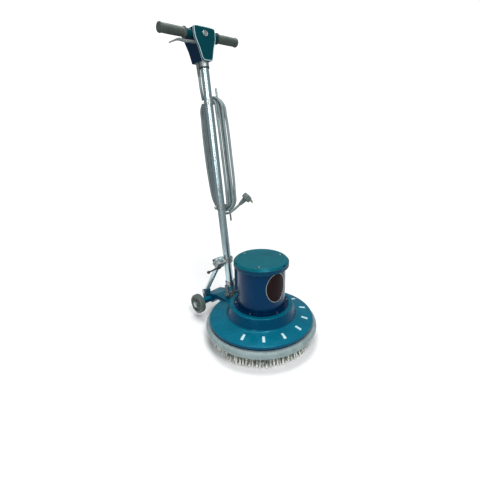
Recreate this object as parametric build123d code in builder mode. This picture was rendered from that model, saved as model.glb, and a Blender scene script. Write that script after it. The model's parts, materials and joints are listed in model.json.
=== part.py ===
"""Single-disc rotary floor machine, standing on its brush with the handle upright.

Millimetres.  The origin is on the floor under the middle of the brush, +Z is up, the front is -Y,
and the wheels and the operator are at +Y.  The machine's right side is -X.
"""

import os
from math import acos, cos, pi, radians, sin, tan

from build123d import *

os.makedirs("parts", exist_ok=True)

# ---- clearances -------------------------------------------------------------------------------
run_gap = 0.3          # between bodies that move past each other
shaft_gap = 0.05       # radial, a shaft turning in its own hole
seat_gap = 0.1         # radial, a piece that sits still in or on another
guide_gap = 1.0        # radial, the strut in its clamp

# ---- brush and drive --------------------------------------------------------------------------
brush_radius = 188.0
bristle_root_radius = brush_radius - 7
bristle_inner_radius = 70.0
bristle_length = 34.0
block_radius = brush_radius + 2
block_thickness = 18.0
block_bore = 58.0
clutch_outer_radius = 84.0
clutch_inner_radius = 46.0
clutch_thickness = 8.0
lug_count = 3
lug_width = 22.0
drive_plate_radius = 72.0
drive_plate_thickness = 8.0
output_radius = 12.5

# ---- gearbox ----------------------------------------------------------------------------------
gear_module = 1.0
sun_teeth = 12
planet_teeth = 48
ring_teeth = sun_teeth + 2 * planet_teeth
planet_count = 3
planet_thickness = 14.0
planet_pin_radius = 4.5
ring_radius = 64.0
carrier_radius = 44.0
carrier_thickness = 8.0
seal_thickness = 7.0
output_bearing_radius = 26.0
output_bearing_width = 15.0
gearbox_plate_thickness = 8.0
gearbox_wall = 15.0

# ---- deck casting -----------------------------------------------------------------------------
skirt_radius = brush_radius + 10
skirt_thickness = 6.0
skirt_bottom = 54.0
deck_edge_radius = skirt_radius + 5
deck_edge_height = 92.0
deck_edge_lip = 9.0
drum_top_radius = 123.0
drum_foot_radius = drum_top_radius + 14
drum_foot_height = 107.0
drum_top_height = 148.0
drum_wall = 8.0
drum_roof = 8.0
bumper_radius = skirt_radius + 19.5
bumper_bottom = 46.0
bumper_top = 76.0
tail_half_width = 42.0
tail_pad_height = 104.0
tail_rear = bumper_radius + 90.5
mark_count = 7
mark_first_angle = -68.0
mark_pitch_angle = 25.0
mark_inner_radius = skirt_radius - 40
mark_outer_radius = skirt_radius - 16
mark_arc = 3.2
mark_thickness = 1.4

# ---- motor ------------------------------------------------------------------------------------
cover_radius = 92.0
shield_radius = cover_radius - 6
shield_thickness = 8.0
stator_radius = shield_radius - 12
stator_height = 52.0
rotor_radius = 36.0
air_gap = 0.4
winding_outer_radius = stator_radius - 10
winding_inner_radius = 40.0
winding_height = 15.0
lower_bearing_radius = 20.0
upper_bearing_radius = 17.5
motor_bolt_circle = shield_radius - 6
motor_bolt_radius = 3.0
fan_radius = cover_radius - 18
fan_height = 15.0
capacitor_radius = 15.0
capacitor_length = 70.0

# ---- motor cover and lid ----------------------------------------------------------------------
cover_wall = 2.5
cover_height = 165.0
cover_foot_radius = cover_radius + 15
cover_foot_thickness = 3.0
cover_screw_count = 6
cover_opening_radius = 60.0
lid_radius = cover_radius + 13
lid_top_radius = lid_radius - 7
lid_wall = 3.0
wiring_box_reach = cover_radius + 8  # flat back of the wiring box on the cover's rear left
wiring_box_width = 70.0
wiring_box_height = 112.0
wiring_box_turn = 110.0
lid_plate = 4.0
lid_chamfer = 7.0
lid_rim_height = 22.0
lid_boss_radius = 7.0
lid_boss_circle = cover_radius - 12
lid_notch_width = 12.0
emblem_angle = -9.0
emblem_half_width = 42.0
emblem_half_height = 58.0
emblem_thickness = 1.2

# ---- wheels -----------------------------------------------------------------------------------
axle_y = bumper_radius + 62.5
axle_z = 68.0
axle_radius = 8.0
wheel_radius = 41.0
wheel_width = 24.0
wheel_inner_x = 91.0
wheel_hub_radius = 17.0
wheel_web = 12.0
wheel_rim = 10.0
wheel_hole_count = 6
wheel_hole_radius = 4.5

# ---- handle -----------------------------------------------------------------------------------
pivot_y = drum_foot_radius + (deck_edge_radius - drum_foot_radius) / 5 + 29.8   # clear of the slope
pivot_z = 118.0
lean = 7.6             # degrees rearward at rest
pivot_radius = 5.0
ear_thickness = 4.0
ear_outer_x = 18.0
ear_radius = 12.0
leg_thickness = 5.0
leg_half_width = 10.0
leg_top = 40.0
socket_length = 15.0
tube_radius = 15.875
socket_radius = tube_radius + 4.125
tube_wall = 2.0
head_bottom = 934.0    # along the handle from its pivot: this sets the machine's height
tube_top = head_bottom + 71
bar_height = head_bottom + 93
bar_radius = 12.5
bar_half_length = 170.0
bar_wall = 2.0
grip_radius = 17.0
grip_start = tube_radius + 56.125
grip_end_wall = 5.0
head_front = -tube_radius - 12.125
head_rear = tube_radius + 34.125
head_cover_thickness = 8.0
head_trim_thickness = 2.0
head_wall = 3.5
bar_boss_radius = bar_radius + 3.5
head_half_widths = [(head_bottom, tube_radius + 5.125), (head_bottom + 41, tube_radius + 15.125),
                    (head_bottom + 76, tube_radius + 29.125),
                    (head_bottom + 115, tube_radius + 31.125)]
badge_radius = 11.0
badge_thickness = 1.5
head_collar_radius = tube_radius + 2.025
head_collar_length = 19.0

# ---- clamp and strut --------------------------------------------------------------------------
strut_x = -(tube_radius + 26.125)
strut_radius = 9.5
strut_wall = 1.8
strut_foot_y = tail_rear - 6
strut_foot_z = 98.0
strut_eye_radius = 10.0
clamp_height = 150.0   # along the handle from its pivot
clamp_collar_radius = tube_radius + 6.125
clamp_collar_half = 11.0
clamp_stud_radius = 5.0
clamp_block_half = 15.0
clamp_slit = 2.0
lever_screw_radius = 4.0
lever_length = 52.0
lever_droop = 8.0

# ---- cord -------------------------------------------------------------------------------------
cord_radius = 5.25
relief_x = -13.0
relief_y = tube_radius + 6.125
relief_length = 50.0
relief_radius = 7.4
upper_hook = head_bottom - 146
lower_hook = 375.0
hook_heights = [(upper_hook, 57.0), (lower_hook, -70.0)]   # and how far each tip turns up or down
hook_reach = tube_radius + 42.125
hook_rod_radius = 4.0
hook_band = 20.0
hook_turn = 15.0       # degrees from +X towards +Y: the way both hooks point
hank_near = tube_radius + 4.625
hank_far = hank_near + 29.5

# ---- stack heights, from the floor up -----------------------------------------------------------
block_top = bristle_length + block_thickness
clutch_top = block_top + clutch_thickness
drive_top = clutch_top + drive_plate_thickness
gearbox_bottom = drive_top + 4
gearbox_floor = gearbox_bottom + seal_thickness + output_bearing_width + 4
carrier_bottom = gearbox_floor + 3
carrier_top = carrier_bottom + carrier_thickness
planet_bottom = carrier_top + 1
ring_height = planet_bottom + planet_thickness + 2 - gearbox_floor
sun_radius = gear_module * sun_teeth / 2
planet_radius = gear_module * planet_teeth / 2
planet_circle = sun_radius + planet_radius
gearbox_bore = ring_radius + seat_gap
gearbox_outer = gearbox_bore + gearbox_wall
roof_bottom = drum_top_height - drum_roof
shield_top = drum_top_height + shield_thickness
stator_bottom = shield_top + 20
stator_top = stator_bottom + stator_height
upper_shield_top = stator_top + 27
fan_bottom = upper_shield_top + 2 * capacitor_radius + 3
fan_top = fan_bottom + fan_height
cover_top = drum_top_height + cover_height
lid_top = cover_top + 18


# ---- shared helpers ---------------------------------------------------------------------------
def section(points):
    """A closed (r, z) outline, ready to be revolved about the machine's axis."""
    with BuildSketch(Plane.XZ, mode=Mode.PRIVATE) as outline:
        with BuildLine():
            Polyline(*points, close=True)
        make_face()
    return outline.sketch


def finish(builder, label):
    builder.part.label = label
    export_step(builder.part, f"parts/{label}.step")


def along_x(x, y, z):
    """A plane facing +X, at a point."""
    return Plane(origin=(x, y, z), x_dir=(0, 1, 0), z_dir=(1, 0, 0))


def involute(angle):
    return tan(angle) - angle


def gear_outline(teeth, internal=False):
    """The outline of a gear with stub involute teeth; tooth 0 points along +X.

    The space of an internal gear is cut with the outline of the gear that fills it, so its teeth
    stand between those of the outline.
    """
    pressure = radians(20)
    pitch = gear_module * teeth / 2
    base = pitch * cos(pressure)
    backlash = 0.12 * gear_module
    tip = pitch + (1.05 if internal else 0.8) * gear_module
    root = pitch - (0.75 if internal else 1.15) * gear_module
    half_tooth = (pi * gear_module / 2 + (backlash if internal else -backlash)) / (2 * pitch)
    flank = []
    for step in range(5):
        radius = root + (tip - root) * step / 4
        swing = involute(acos(min(1, base / radius)))
        flank.append((radius, half_tooth + involute(pressure) - swing))
    outline = []
    for tooth in range(teeth):
        middle = 2 * pi * (tooth + (0.5 if internal else 0)) / teeth
        outline += [(r * cos(middle - a), r * sin(middle - a)) for r, a in flank]
        outline += [(r * cos(middle + a), r * sin(middle + a)) for r, a in reversed(flank)]
    return outline


def gear_face(teeth, internal=False):
    """A gear's outline as a face on XY."""
    with BuildSketch(mode=Mode.PRIVATE) as outline:
        with BuildLine():
            Polyline(*gear_outline(teeth, internal), close=True)
        make_face()
    return outline.sketch


# ==== base: deck casting, gearbox, motor ==========================================================
with BuildPart() as bristles:
    revolve(section([(bristle_inner_radius, 0), (brush_radius, 0), (bristle_root_radius, bristle_length),
            (bristle_inner_radius, bristle_length)]), axis=Axis.Z)
finish(bristles, "brush_bristles")

with BuildPart() as block:
    with BuildSketch(Plane.XY.offset(bristle_length)):
        Circle(block_radius)
        Circle(block_bore, mode=Mode.SUBTRACT)
    extrude(amount=block_thickness)
    fillet(block.edges().filter_by(GeomType.CIRCLE).group_by(Axis.Z)[-1].sort_by(SortBy.LENGTH)[-1],
           radius=4)
finish(block, "brush_block")

with BuildPart() as clutch:
    with BuildSketch(Plane.XY.offset(block_top)):
        Circle(clutch_outer_radius)
        Circle(clutch_inner_radius, mode=Mode.SUBTRACT)
        with PolarLocations((clutch_outer_radius + clutch_inner_radius) / 2 - 4, lug_count):
            RectangleRounded(34, lug_width, 3, mode=Mode.SUBTRACT)
    extrude(amount=clutch_thickness)
finish(clutch, "brush_clutch")

with BuildPart() as drive_plate:
    with BuildSketch(Plane.XY.offset(clutch_top)):
        Circle(drive_plate_radius)
        Circle(output_radius + seat_gap, mode=Mode.SUBTRACT)
    extrude(amount=drive_plate_thickness)
    with BuildSketch(Plane.XY.offset(clutch_top)):
        with PolarLocations((clutch_outer_radius + clutch_inner_radius) / 2 - 6, lug_count):
            RectangleRounded(20, lug_width - 3, 3)
    extrude(amount=-(clutch_thickness - 1))
finish(drive_plate, "drive_plate")

bolt_head = 7.0
with BuildPart() as drive_bolt:
    with BuildSketch(Plane.XY.offset(clutch_top - bolt_head - 3)):
        RegularPolygon(9.5, 6)
    extrude(amount=bolt_head)
    with BuildSketch(Plane.XY.offset(clutch_top - 3)):
        Circle(19)
    extrude(amount=3)
finish(drive_bolt, "drive_bolt")

with BuildPart() as carrier:
    revolve(section([(0, clutch_top), (output_radius, clutch_top), (output_radius, carrier_bottom),
            (carrier_radius, carrier_bottom), (carrier_radius, carrier_top), (0, carrier_top)]), axis=Axis.Z)
    with BuildSketch(Plane.XY.offset(carrier_top)):
        with PolarLocations(planet_circle, planet_count):
            Circle(planet_pin_radius)
    extrude(amount=planet_thickness + 3)
finish(carrier, "planet_carrier")

for number in range(planet_count):
    turn = 360 * number / planet_count
    centre = Plane.XY.rotated((0, 0, turn)).offset(planet_bottom)
    planet_plane = Plane(origin=centre.from_local_coords(Vector(planet_circle, 0, 0)),
                         x_dir=centre.x_dir, z_dir=(0, 0, 1)).rotated((0, 0, 180 / planet_teeth))
    with BuildPart() as planet:
        with BuildSketch(planet_plane):
            add(gear_face(planet_teeth))
            Circle(planet_pin_radius + shaft_gap, mode=Mode.SUBTRACT)
        extrude(amount=planet_thickness)
    finish(planet, f"planet_gear_{number + 1}")

with BuildPart() as ring_gear:
    with BuildSketch(Plane.XY.offset(gearbox_floor)):
        Circle(ring_radius)
        add(gear_face(ring_teeth, internal=True), mode=Mode.SUBTRACT)
    extrude(amount=ring_height)
finish(ring_gear, "ring_gear")

gearbox_screw_circle = gearbox_bore + gearbox_wall / 2
gearbox_screws = 6
hub_radius = output_bearing_radius + 8
with BuildPart() as gearbox_cover:
    revolve(section([(output_bearing_radius + seat_gap, gearbox_bottom), (hub_radius, gearbox_bottom),
            (hub_radius, gearbox_floor - gearbox_plate_thickness),
            (gearbox_outer, gearbox_floor - gearbox_plate_thickness), (gearbox_outer, gearbox_floor),
            (output_bearing_radius - 4, gearbox_floor),
            (output_bearing_radius - 4, gearbox_floor - 4),
            (output_bearing_radius + seat_gap, gearbox_floor - 4)]), axis=Axis.Z)
    with BuildSketch(Plane.XY.offset(gearbox_floor)):
        with PolarLocations(gearbox_screw_circle, gearbox_screws, start_angle=30):
            Circle(3.1)
    extrude(amount=-gearbox_plate_thickness, mode=Mode.SUBTRACT)
finish(gearbox_cover, "gearbox_cover")


def ring_piece(label, bottom, height, outer, inner):
    with BuildPart() as piece:
        with BuildSketch(Plane.XY.offset(bottom)):
            Circle(outer)
            Circle(inner, mode=Mode.SUBTRACT)
        extrude(amount=height)
    finish(piece, label)


ring_piece("output_seal", gearbox_bottom, seal_thickness, output_bearing_radius,
           output_radius + shaft_gap)
ring_piece("output_bearing", gearbox_bottom + seal_thickness, output_bearing_width,
           output_bearing_radius, output_radius + shaft_gap)

# The outline of the tail that carries the axle, seen from the machine's left: it passes over the bumper.
tail_outline = [(140, 100), (150, tail_pad_height), (bumper_radius + 18.5, tail_pad_height), (tail_rear, 82),
                (tail_rear, 60), (tail_rear - 8, 54), (axle_y - 18, 54), (bumper_radius + 8.5, deck_edge_height - 7),
                (skirt_radius, deck_edge_height - 6), (150, 98)]
strut_pin_radius = 5.0
strut_ear_thickness = 4.0
ear_gap = strut_radius + run_gap + 0.2
shell = deck_edge_lip
with BuildPart() as deck:
    with BuildSketch(Plane.XZ) as deck_section:
        with BuildLine():
            Polyline(
                (skirt_radius - skirt_thickness, skirt_bottom), (skirt_radius, skirt_bottom),
                (skirt_radius, deck_edge_height - shell), (deck_edge_radius, deck_edge_height - shell),
                (deck_edge_radius, deck_edge_height), (drum_foot_radius, drum_foot_height),
                (drum_top_radius, drum_top_height), (36, drum_top_height), (36, roof_bottom),
                (gearbox_bore, roof_bottom), (gearbox_bore, gearbox_floor),
                (gearbox_outer, gearbox_floor), (gearbox_outer, roof_bottom),
                (drum_top_radius - drum_wall, roof_bottom),
                (drum_foot_radius - drum_wall, drum_foot_height - shell),
                (skirt_radius - skirt_thickness, deck_edge_height - shell - 1), close=True)
        make_face()
        for corner, radius in (((deck_edge_radius, deck_edge_height), 3),
                               ((drum_foot_radius, drum_foot_height), 10),
                               ((drum_top_radius, drum_top_height), 4)):
            fillet(deck_section.vertices().sort_by_distance(corner)[0], radius=radius)
    revolve(axis=Axis.Z)
    with BuildSketch(Plane.YZ):
        with BuildLine():
            Polyline(*tail_outline, close=True)
        make_face()
    extrude(amount=tail_half_width, both=True)
    fillet(deck.edges().filter_by(GeomType.LINE).filter_by(
        lambda e: abs(abs(e.center().X) - tail_half_width) < 0.1
        and e.center().Y > bumper_radius + 12.5 and e.center().Z > 75), radius=4)
    with BuildSketch(along_x(-wheel_inner_x + 0.5, axle_y, axle_z)):
        Circle(14)
    extrude(amount=2 * wheel_inner_x - 1)
    for inner_x in (strut_x - ear_gap - strut_ear_thickness, strut_x + ear_gap):
        with BuildSketch(along_x(inner_x, 0, 0)):
            with BuildLine():
                Polyline((strut_foot_y - 15, 66), (strut_foot_y + 5, 66),
                         (strut_foot_y + 11, strut_foot_z), (strut_foot_y - 11, strut_foot_z),
                         close=True)
            make_face()
            with Locations((strut_foot_y, strut_foot_z)):
                Circle(11)
        extrude(amount=strut_ear_thickness)
    with BuildSketch(along_x(strut_x - ear_gap - strut_ear_thickness, strut_foot_y - 5, 71)):
        Rectangle(18, 9)
    extrude(amount=22)
    with BuildSketch(along_x(strut_x, strut_foot_y, strut_foot_z)):
        Circle(strut_pin_radius + seat_gap)
    extrude(amount=30, both=True, mode=Mode.SUBTRACT)
    with BuildSketch(along_x(0, axle_y, axle_z)):
        Circle(axle_radius + seat_gap)
    extrude(amount=wheel_inner_x, both=True, mode=Mode.SUBTRACT)
    with BuildSketch(Plane.XY.offset(drum_top_height)):
        with PolarLocations(motor_bolt_circle, 4, start_angle=45):
            Circle(motor_bolt_radius + seat_gap)
        with PolarLocations(cover_foot_radius - 7, cover_screw_count, start_angle=20):
            Circle(2.1)
    extrude(amount=-7, mode=Mode.SUBTRACT)
    with BuildSketch(Plane.XY.offset(gearbox_floor)):
        with PolarLocations(gearbox_screw_circle, gearbox_screws, start_angle=30):
            Circle(3.1)
    extrude(amount=16, mode=Mode.SUBTRACT)
    bracket_bolt_ys = (pivot_y - 20, pivot_y + 20)
    with BuildSketch(Plane.XY.offset(tail_pad_height)):
        with Locations(*[(0, y) for y in bracket_bolt_ys]):
            Circle(4.1)
    extrude(amount=-9, mode=Mode.SUBTRACT)
finish(deck, "deck_housing")

with BuildPart() as bumper:
    with BuildSketch(Plane.XZ) as bumper_section:
        with BuildLine():
            inner = skirt_radius + seat_gap
            Polyline((bumper_radius - 6, bumper_top), (inner, bumper_top), (inner, bumper_bottom),
                     (bumper_radius - 10, bumper_bottom), (bumper_radius, bumper_bottom + 10),
                     (bumper_radius, bumper_top - 9), close=True)
        make_face()
        fillet(bumper_section.vertices().sort_by(Axis.X)[2:], radius=5)
    revolve(axis=Axis.Z)
finish(bumper, "bumper_ring")


def deck_surface(radius):
    """Height of the deck's sloping top at a radius."""
    share = (radius - drum_foot_radius) / (deck_edge_radius - drum_foot_radius)
    return drum_foot_height + share * (deck_edge_height - drum_foot_height)


with BuildPart() as marks:
    for number in range(mark_count):
        angle = mark_first_angle + number * mark_pitch_angle - mark_arc / 2
        facing = Plane(origin=(0, 0, 0), x_dir=(sin(radians(angle)), -cos(radians(angle)), 0),
                       z_dir=(-cos(radians(angle)), -sin(radians(angle)), 0))
        with BuildSketch(facing):
            with BuildLine():
                low_in, low_out = deck_surface(mark_inner_radius), deck_surface(mark_outer_radius)
                Polyline((mark_inner_radius, low_in), (mark_outer_radius, low_out),
                         (mark_outer_radius, low_out + mark_thickness),
                         (mark_inner_radius, low_in + mark_thickness), close=True)
            make_face()
        revolve(axis=Axis.Z, revolution_arc=mark_arc)
finish(marks, "deck_marks")

# ---- motor ------------------------------------------------------------------------------------
with BuildPart() as lower_shield:
    revolve(section([(12, roof_bottom), (36 - seat_gap, roof_bottom), (36 - seat_gap, drum_top_height),
            (shield_radius, drum_top_height), (shield_radius, shield_top), (stator_radius, shield_top),
            (stator_radius, stator_bottom), (stator_radius - 7, stator_bottom),
            (stator_radius - 7, shield_top), (lower_bearing_radius + seat_gap, shield_top),
            (lower_bearing_radius + seat_gap, roof_bottom + 4), (12, roof_bottom + 4)]), axis=Axis.Z)
    with BuildSketch(Plane.XY.offset(drum_top_height)):
        with PolarLocations(motor_bolt_circle, 4, start_angle=45):
            Circle(motor_bolt_radius + seat_gap)
    extrude(amount=shield_thickness, mode=Mode.SUBTRACT)
finish(lower_shield, "motor_lower_shield")

upper_bearing_bottom = upper_shield_top - 11
with BuildPart() as upper_shield:
    revolve(section([(upper_bearing_radius + seat_gap, upper_bearing_bottom - 2),
            (24, upper_bearing_bottom - 2), (24, upper_shield_top - shield_thickness),
            (stator_radius - 7, upper_shield_top - shield_thickness), (stator_radius - 7, stator_top),
            (stator_radius, stator_top), (stator_radius, upper_shield_top - shield_thickness),
            (shield_radius, upper_shield_top - shield_thickness), (shield_radius, upper_shield_top),
            (upper_bearing_radius + seat_gap, upper_shield_top)]), axis=Axis.Z)
    with BuildSketch(Plane.XY.offset(upper_shield_top)):
        with PolarLocations(motor_bolt_circle, 4, start_angle=45):
            Circle(motor_bolt_radius + seat_gap)
    extrude(amount=-shield_thickness, mode=Mode.SUBTRACT)
finish(upper_shield, "motor_upper_shield")

lower_journal = 8.5
upper_journal = 7.5
with BuildPart() as motor_bearings:
    with BuildSketch(Plane.XY.offset(roof_bottom + 4)):
        Circle(lower_bearing_radius)
        Circle(lower_journal + shaft_gap, mode=Mode.SUBTRACT)
    extrude(amount=12)
    with BuildSketch(Plane.XY.offset(upper_bearing_bottom)):
        Circle(upper_bearing_radius)
        Circle(upper_journal + shaft_gap, mode=Mode.SUBTRACT)
    extrude(amount=11)
finish(motor_bearings, "motor_bearings")

ring_piece("stator_core", stator_bottom, stator_height, stator_radius, rotor_radius + air_gap)

with BuildPart() as windings:
    for bottom in (stator_bottom - winding_height, stator_top):
        with BuildSketch(Plane.XY.offset(bottom)):
            Circle(winding_outer_radius)
            Circle(winding_inner_radius, mode=Mode.SUBTRACT)
        extrude(amount=winding_height)
finish(windings, "stator_windings")

rotor_bore = 10.0
ring_piece("rotor_core", stator_bottom, stator_height, rotor_radius, rotor_bore + seat_gap)

pinion_bottom = planet_bottom + 0.5
pinion_top = planet_bottom + planet_thickness + 1
with BuildPart() as rotor_shaft:
    revolve(section([(0, pinion_top), (4.6, pinion_top), (4.6, roof_bottom + 1), (lower_journal, roof_bottom + 1),
            (lower_journal, shield_top + 3), (rotor_bore, shield_top + 3), (rotor_bore, stator_top + 10),
            (upper_journal, stator_top + 10), (upper_journal, fan_top), (0, fan_top)]), axis=Axis.Z)
    with BuildSketch(Plane.XY.offset(pinion_bottom)):
        add(gear_face(sun_teeth))
    extrude(amount=pinion_top - pinion_bottom)
finish(rotor_shaft, "rotor_shaft")

fan_blades = 9
with BuildPart() as fan:
    with BuildSketch(Plane.XY.offset(fan_bottom)):
        Circle(fan_radius)
        Circle(upper_journal + seat_gap, mode=Mode.SUBTRACT)
    extrude(amount=2)
    with BuildSketch(Plane.XY.offset(fan_bottom + 2)):
        Circle(15)
        with PolarLocations(43, fan_blades):
            Rectangle(60, 2.4)
        Circle(upper_journal + seat_gap, mode=Mode.SUBTRACT)
    extrude(amount=fan_height - 3)
finish(fan, "cooling_fan")

bolt_bottom = drum_top_height - 6.5
with BuildPart() as motor_bolts:
    with BuildSketch(Plane.XY.offset(bolt_bottom)):
        with PolarLocations(motor_bolt_circle, 4, start_angle=45):
            Circle(motor_bolt_radius)
    extrude(amount=upper_shield_top - bolt_bottom)
    with BuildSketch(Plane.XY.offset(upper_shield_top)):
        with PolarLocations(motor_bolt_circle, 4, start_angle=45):
            RegularPolygon(5.5, 6)
    extrude(amount=4)
finish(motor_bolts, "motor_bolts")

capacitor_x = 40.0
with BuildPart() as capacitor:
    level = upper_shield_top + capacitor_radius
    with BuildSketch(Plane(origin=(capacitor_x, 0, level), x_dir=(1, 0, 0), z_dir=(0, -1, 0))):
        Circle(capacitor_radius)
        with Locations((0, -capacitor_radius / 2)):
            Rectangle(1.4 * capacitor_radius, capacitor_radius)
    extrude(amount=capacitor_length / 2, both=True)
finish(capacitor, "run_capacitor")

# ---- cover and lid ------------------------------------------------------------------------------
cover_screw_circle = cover_foot_radius - 7
with BuildPart() as cover:
    revolve(section([(cover_radius - cover_wall, drum_top_height), (cover_foot_radius, drum_top_height),
            (cover_foot_radius, drum_top_height + cover_foot_thickness),
            (cover_radius, drum_top_height + cover_foot_thickness), (cover_radius, cover_top),
            (cover_opening_radius, cover_top), (cover_opening_radius, cover_top - cover_wall),
            (cover_radius - cover_wall, cover_top - cover_wall)]), axis=Axis.Z)
    # wiring box: its outside is added, then the cover's room and its own are cleared
    box_top = lid_top - lid_rim_height - 1.5
    box_along = (cos(radians(wiring_box_turn)), sin(radians(wiring_box_turn)), 0)
    box_inner = cover_radius - 14
    for shrink, mode in ((0, Mode.ADD), (cover_wall, Mode.SUBTRACT)):
        with BuildSketch(Plane((0, 0, box_top - shrink), x_dir=box_along, z_dir=(0, 0, 1))):
            with Locations(((box_inner + wiring_box_reach) / 2 - shrink, 0)):
                RectangleRounded(wiring_box_reach - box_inner, wiring_box_width - 2 * shrink, 5 - shrink)
        extrude(amount=-(wiring_box_height - 2 * shrink), mode=mode)
        if mode == Mode.ADD:
            with BuildSketch(Plane.XY.offset(cover_top - cover_wall)):
                Circle(cover_radius - cover_wall)
            extrude(amount=-(cover_height - cover_wall), mode=Mode.SUBTRACT)
    with BuildSketch(Plane.XY.offset(drum_top_height)):
        with PolarLocations(cover_screw_circle, cover_screw_count, start_angle=20):
            Circle(2.1)
    extrude(amount=cover_foot_thickness, mode=Mode.SUBTRACT)
    with BuildSketch(Plane.XY.offset(cover_top)):
        with PolarLocations(lid_boss_circle, 3, start_angle=-22):
            Circle(2.1)
    extrude(amount=-cover_wall, mode=Mode.SUBTRACT)
finish(cover, "motor_cover")

lid_plate_bottom = lid_top - lid_plate
lid_rim_bottom = lid_top - lid_rim_height
with BuildPart() as lid:
    revolve(section([(0, lid_plate_bottom), (0, lid_top), (lid_top_radius, lid_top),
            (lid_radius, lid_top - lid_chamfer), (lid_radius, lid_rim_bottom),
            (lid_radius - lid_wall, lid_rim_bottom), (lid_radius - lid_wall, lid_top - lid_chamfer - 1.5),
            (lid_top_radius - 1.5, lid_plate_bottom)]), axis=Axis.Z)
    with BuildSketch(Plane.XY.offset(cover_top)):
        with PolarLocations(lid_boss_circle, 3, start_angle=-22):
            Circle(lid_boss_radius)
    extrude(amount=lid_plate_bottom - cover_top)
    with BuildSketch(Plane.XY.offset(lid_top)):
        with PolarLocations(lid_boss_circle, 3, start_angle=-22):
            Circle(2.1)
    extrude(amount=-(lid_top - cover_top), mode=Mode.SUBTRACT)
    with BuildSketch(Plane.XY.offset(lid_top)):
        with PolarLocations(lid_radius, 3, start_angle=38):
            RectangleRounded(12, lid_notch_width, 3)
    extrude(amount=-lid_chamfer - 1, mode=Mode.SUBTRACT)
finish(lid, "motor_lid")

with BuildPart() as screws:
    # cover foot to drum
    with BuildSketch(Plane.XY.offset(drum_top_height + cover_foot_thickness)):
        with PolarLocations(cover_screw_circle, cover_screw_count, start_angle=20):
            Circle(4)
    extrude(amount=2.5)
    with BuildSketch(Plane.XY.offset(drum_top_height + cover_foot_thickness)):
        with PolarLocations(cover_screw_circle, cover_screw_count, start_angle=20):
            Circle(2)
    extrude(amount=-9)
    # lid to cover
    with BuildSketch(Plane.XY.offset(lid_top)):
        with PolarLocations(lid_boss_circle, 3, start_angle=-22):
            Circle(4)
    extrude(amount=2)
    with BuildSketch(Plane.XY.offset(lid_top)):
        with PolarLocations(lid_boss_circle, 3, start_angle=-22):
            Circle(2)
    extrude(amount=-(lid_top - cover_top + cover_wall))
    # gearbox cover to casting
    with BuildSketch(Plane.XY.offset(gearbox_floor - gearbox_plate_thickness)):
        with PolarLocations(gearbox_screw_circle, gearbox_screws, start_angle=30):
            RegularPolygon(5.5, 6)
    extrude(amount=-4)
    with BuildSketch(Plane.XY.offset(gearbox_floor - gearbox_plate_thickness)):
        with PolarLocations(gearbox_screw_circle, gearbox_screws, start_angle=30):
            Circle(3)
    extrude(amount=gearbox_plate_thickness + 14)
finish(screws, "housing_screws")

emblem_level = drum_top_height + 100
turn = radians(emblem_angle)
with BuildPart() as emblem:
    with BuildSketch(Plane(origin=(0, 0, emblem_level), x_dir=(cos(turn), sin(turn), 0),
                           z_dir=(sin(turn), -cos(turn), 0))):
        Ellipse(emblem_half_width, emblem_half_height)
    extrude(amount=2 * cover_radius)
    with BuildSketch(Plane.XY.offset(emblem_level - 2 * emblem_half_height)):
        Circle(cover_radius + emblem_thickness)
        Circle(cover_radius, mode=Mode.SUBTRACT)
    extrude(amount=4 * emblem_half_height, mode=Mode.INTERSECT)
finish(emblem, "cover_emblem")

# ---- axle and wheels ----------------------------------------------------------------------------
wheel_outer_x = wheel_inner_x + wheel_width
cap_thickness = 5.0
axle_half = wheel_outer_x + run_gap + cap_thickness + 1
with BuildPart() as axle:
    with BuildSketch(along_x(-axle_half, axle_y, axle_z)):
        Circle(axle_radius)
    extrude(amount=2 * axle_half)
finish(axle, "axle")

with BuildPart() as caps:
    for start, amount in ((wheel_outer_x + run_gap, cap_thickness),
                          (-wheel_outer_x - run_gap, -cap_thickness)):
        with BuildSketch(along_x(start, axle_y, axle_z)):
            Circle(12)
            Circle(axle_radius + seat_gap, mode=Mode.SUBTRACT)
        extrude(amount=amount)
finish(caps, "axle_caps")

for label, inner_x in (("wheel_right", -wheel_outer_x), ("wheel_left", wheel_inner_x)):
    with BuildPart() as wheel:
        with BuildSketch(along_x(inner_x, axle_y, axle_z)):
            Circle(wheel_radius)
        extrude(amount=wheel_width)
        recess = (wheel_width - wheel_web) / 2
        for face_x, inwards in ((inner_x, recess), (inner_x + wheel_width, -recess)):
            with BuildSketch(along_x(face_x, axle_y, axle_z)):
                Circle(wheel_radius - wheel_rim)
                Circle(wheel_hub_radius, mode=Mode.SUBTRACT)
            extrude(amount=inwards, mode=Mode.SUBTRACT)
        with BuildSketch(along_x(inner_x, axle_y, axle_z)):
            Circle(axle_radius + shaft_gap)
            with PolarLocations((wheel_hub_radius + wheel_radius - wheel_rim) / 2, wheel_hole_count):
                Circle(wheel_hole_radius)
        extrude(amount=wheel_width, mode=Mode.SUBTRACT)
        rims = wheel.edges().filter_by(GeomType.CIRCLE).sort_by(SortBy.LENGTH)[-2:]
        fillet(rims, radius=4)
    finish(wheel, label)

# ---- pivot bracket --------------------------------------------------------------------------------
with BuildPart() as bracket:
    with BuildSketch(Plane.XY.offset(tail_pad_height)):
        with Locations((0, pivot_y)):
            RectangleRounded(2 * ear_outer_x, 56, 4)
        with Locations(*[(0, y) for y in bracket_bolt_ys]):
            Circle(4.1, mode=Mode.SUBTRACT)
    extrude(amount=4)
    for inner_x in (-ear_outer_x, ear_outer_x - ear_thickness):
        with BuildSketch(along_x(inner_x, pivot_y, 0)):
            with Locations((0, (tail_pad_height + pivot_z) / 2)):
                Rectangle(2 * ear_radius, pivot_z - tail_pad_height)
            with Locations((0, pivot_z)):
                Circle(ear_radius)
                Circle(pivot_radius + seat_gap, mode=Mode.SUBTRACT)
        extrude(amount=ear_thickness)
finish(bracket, "pivot_bracket")

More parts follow.
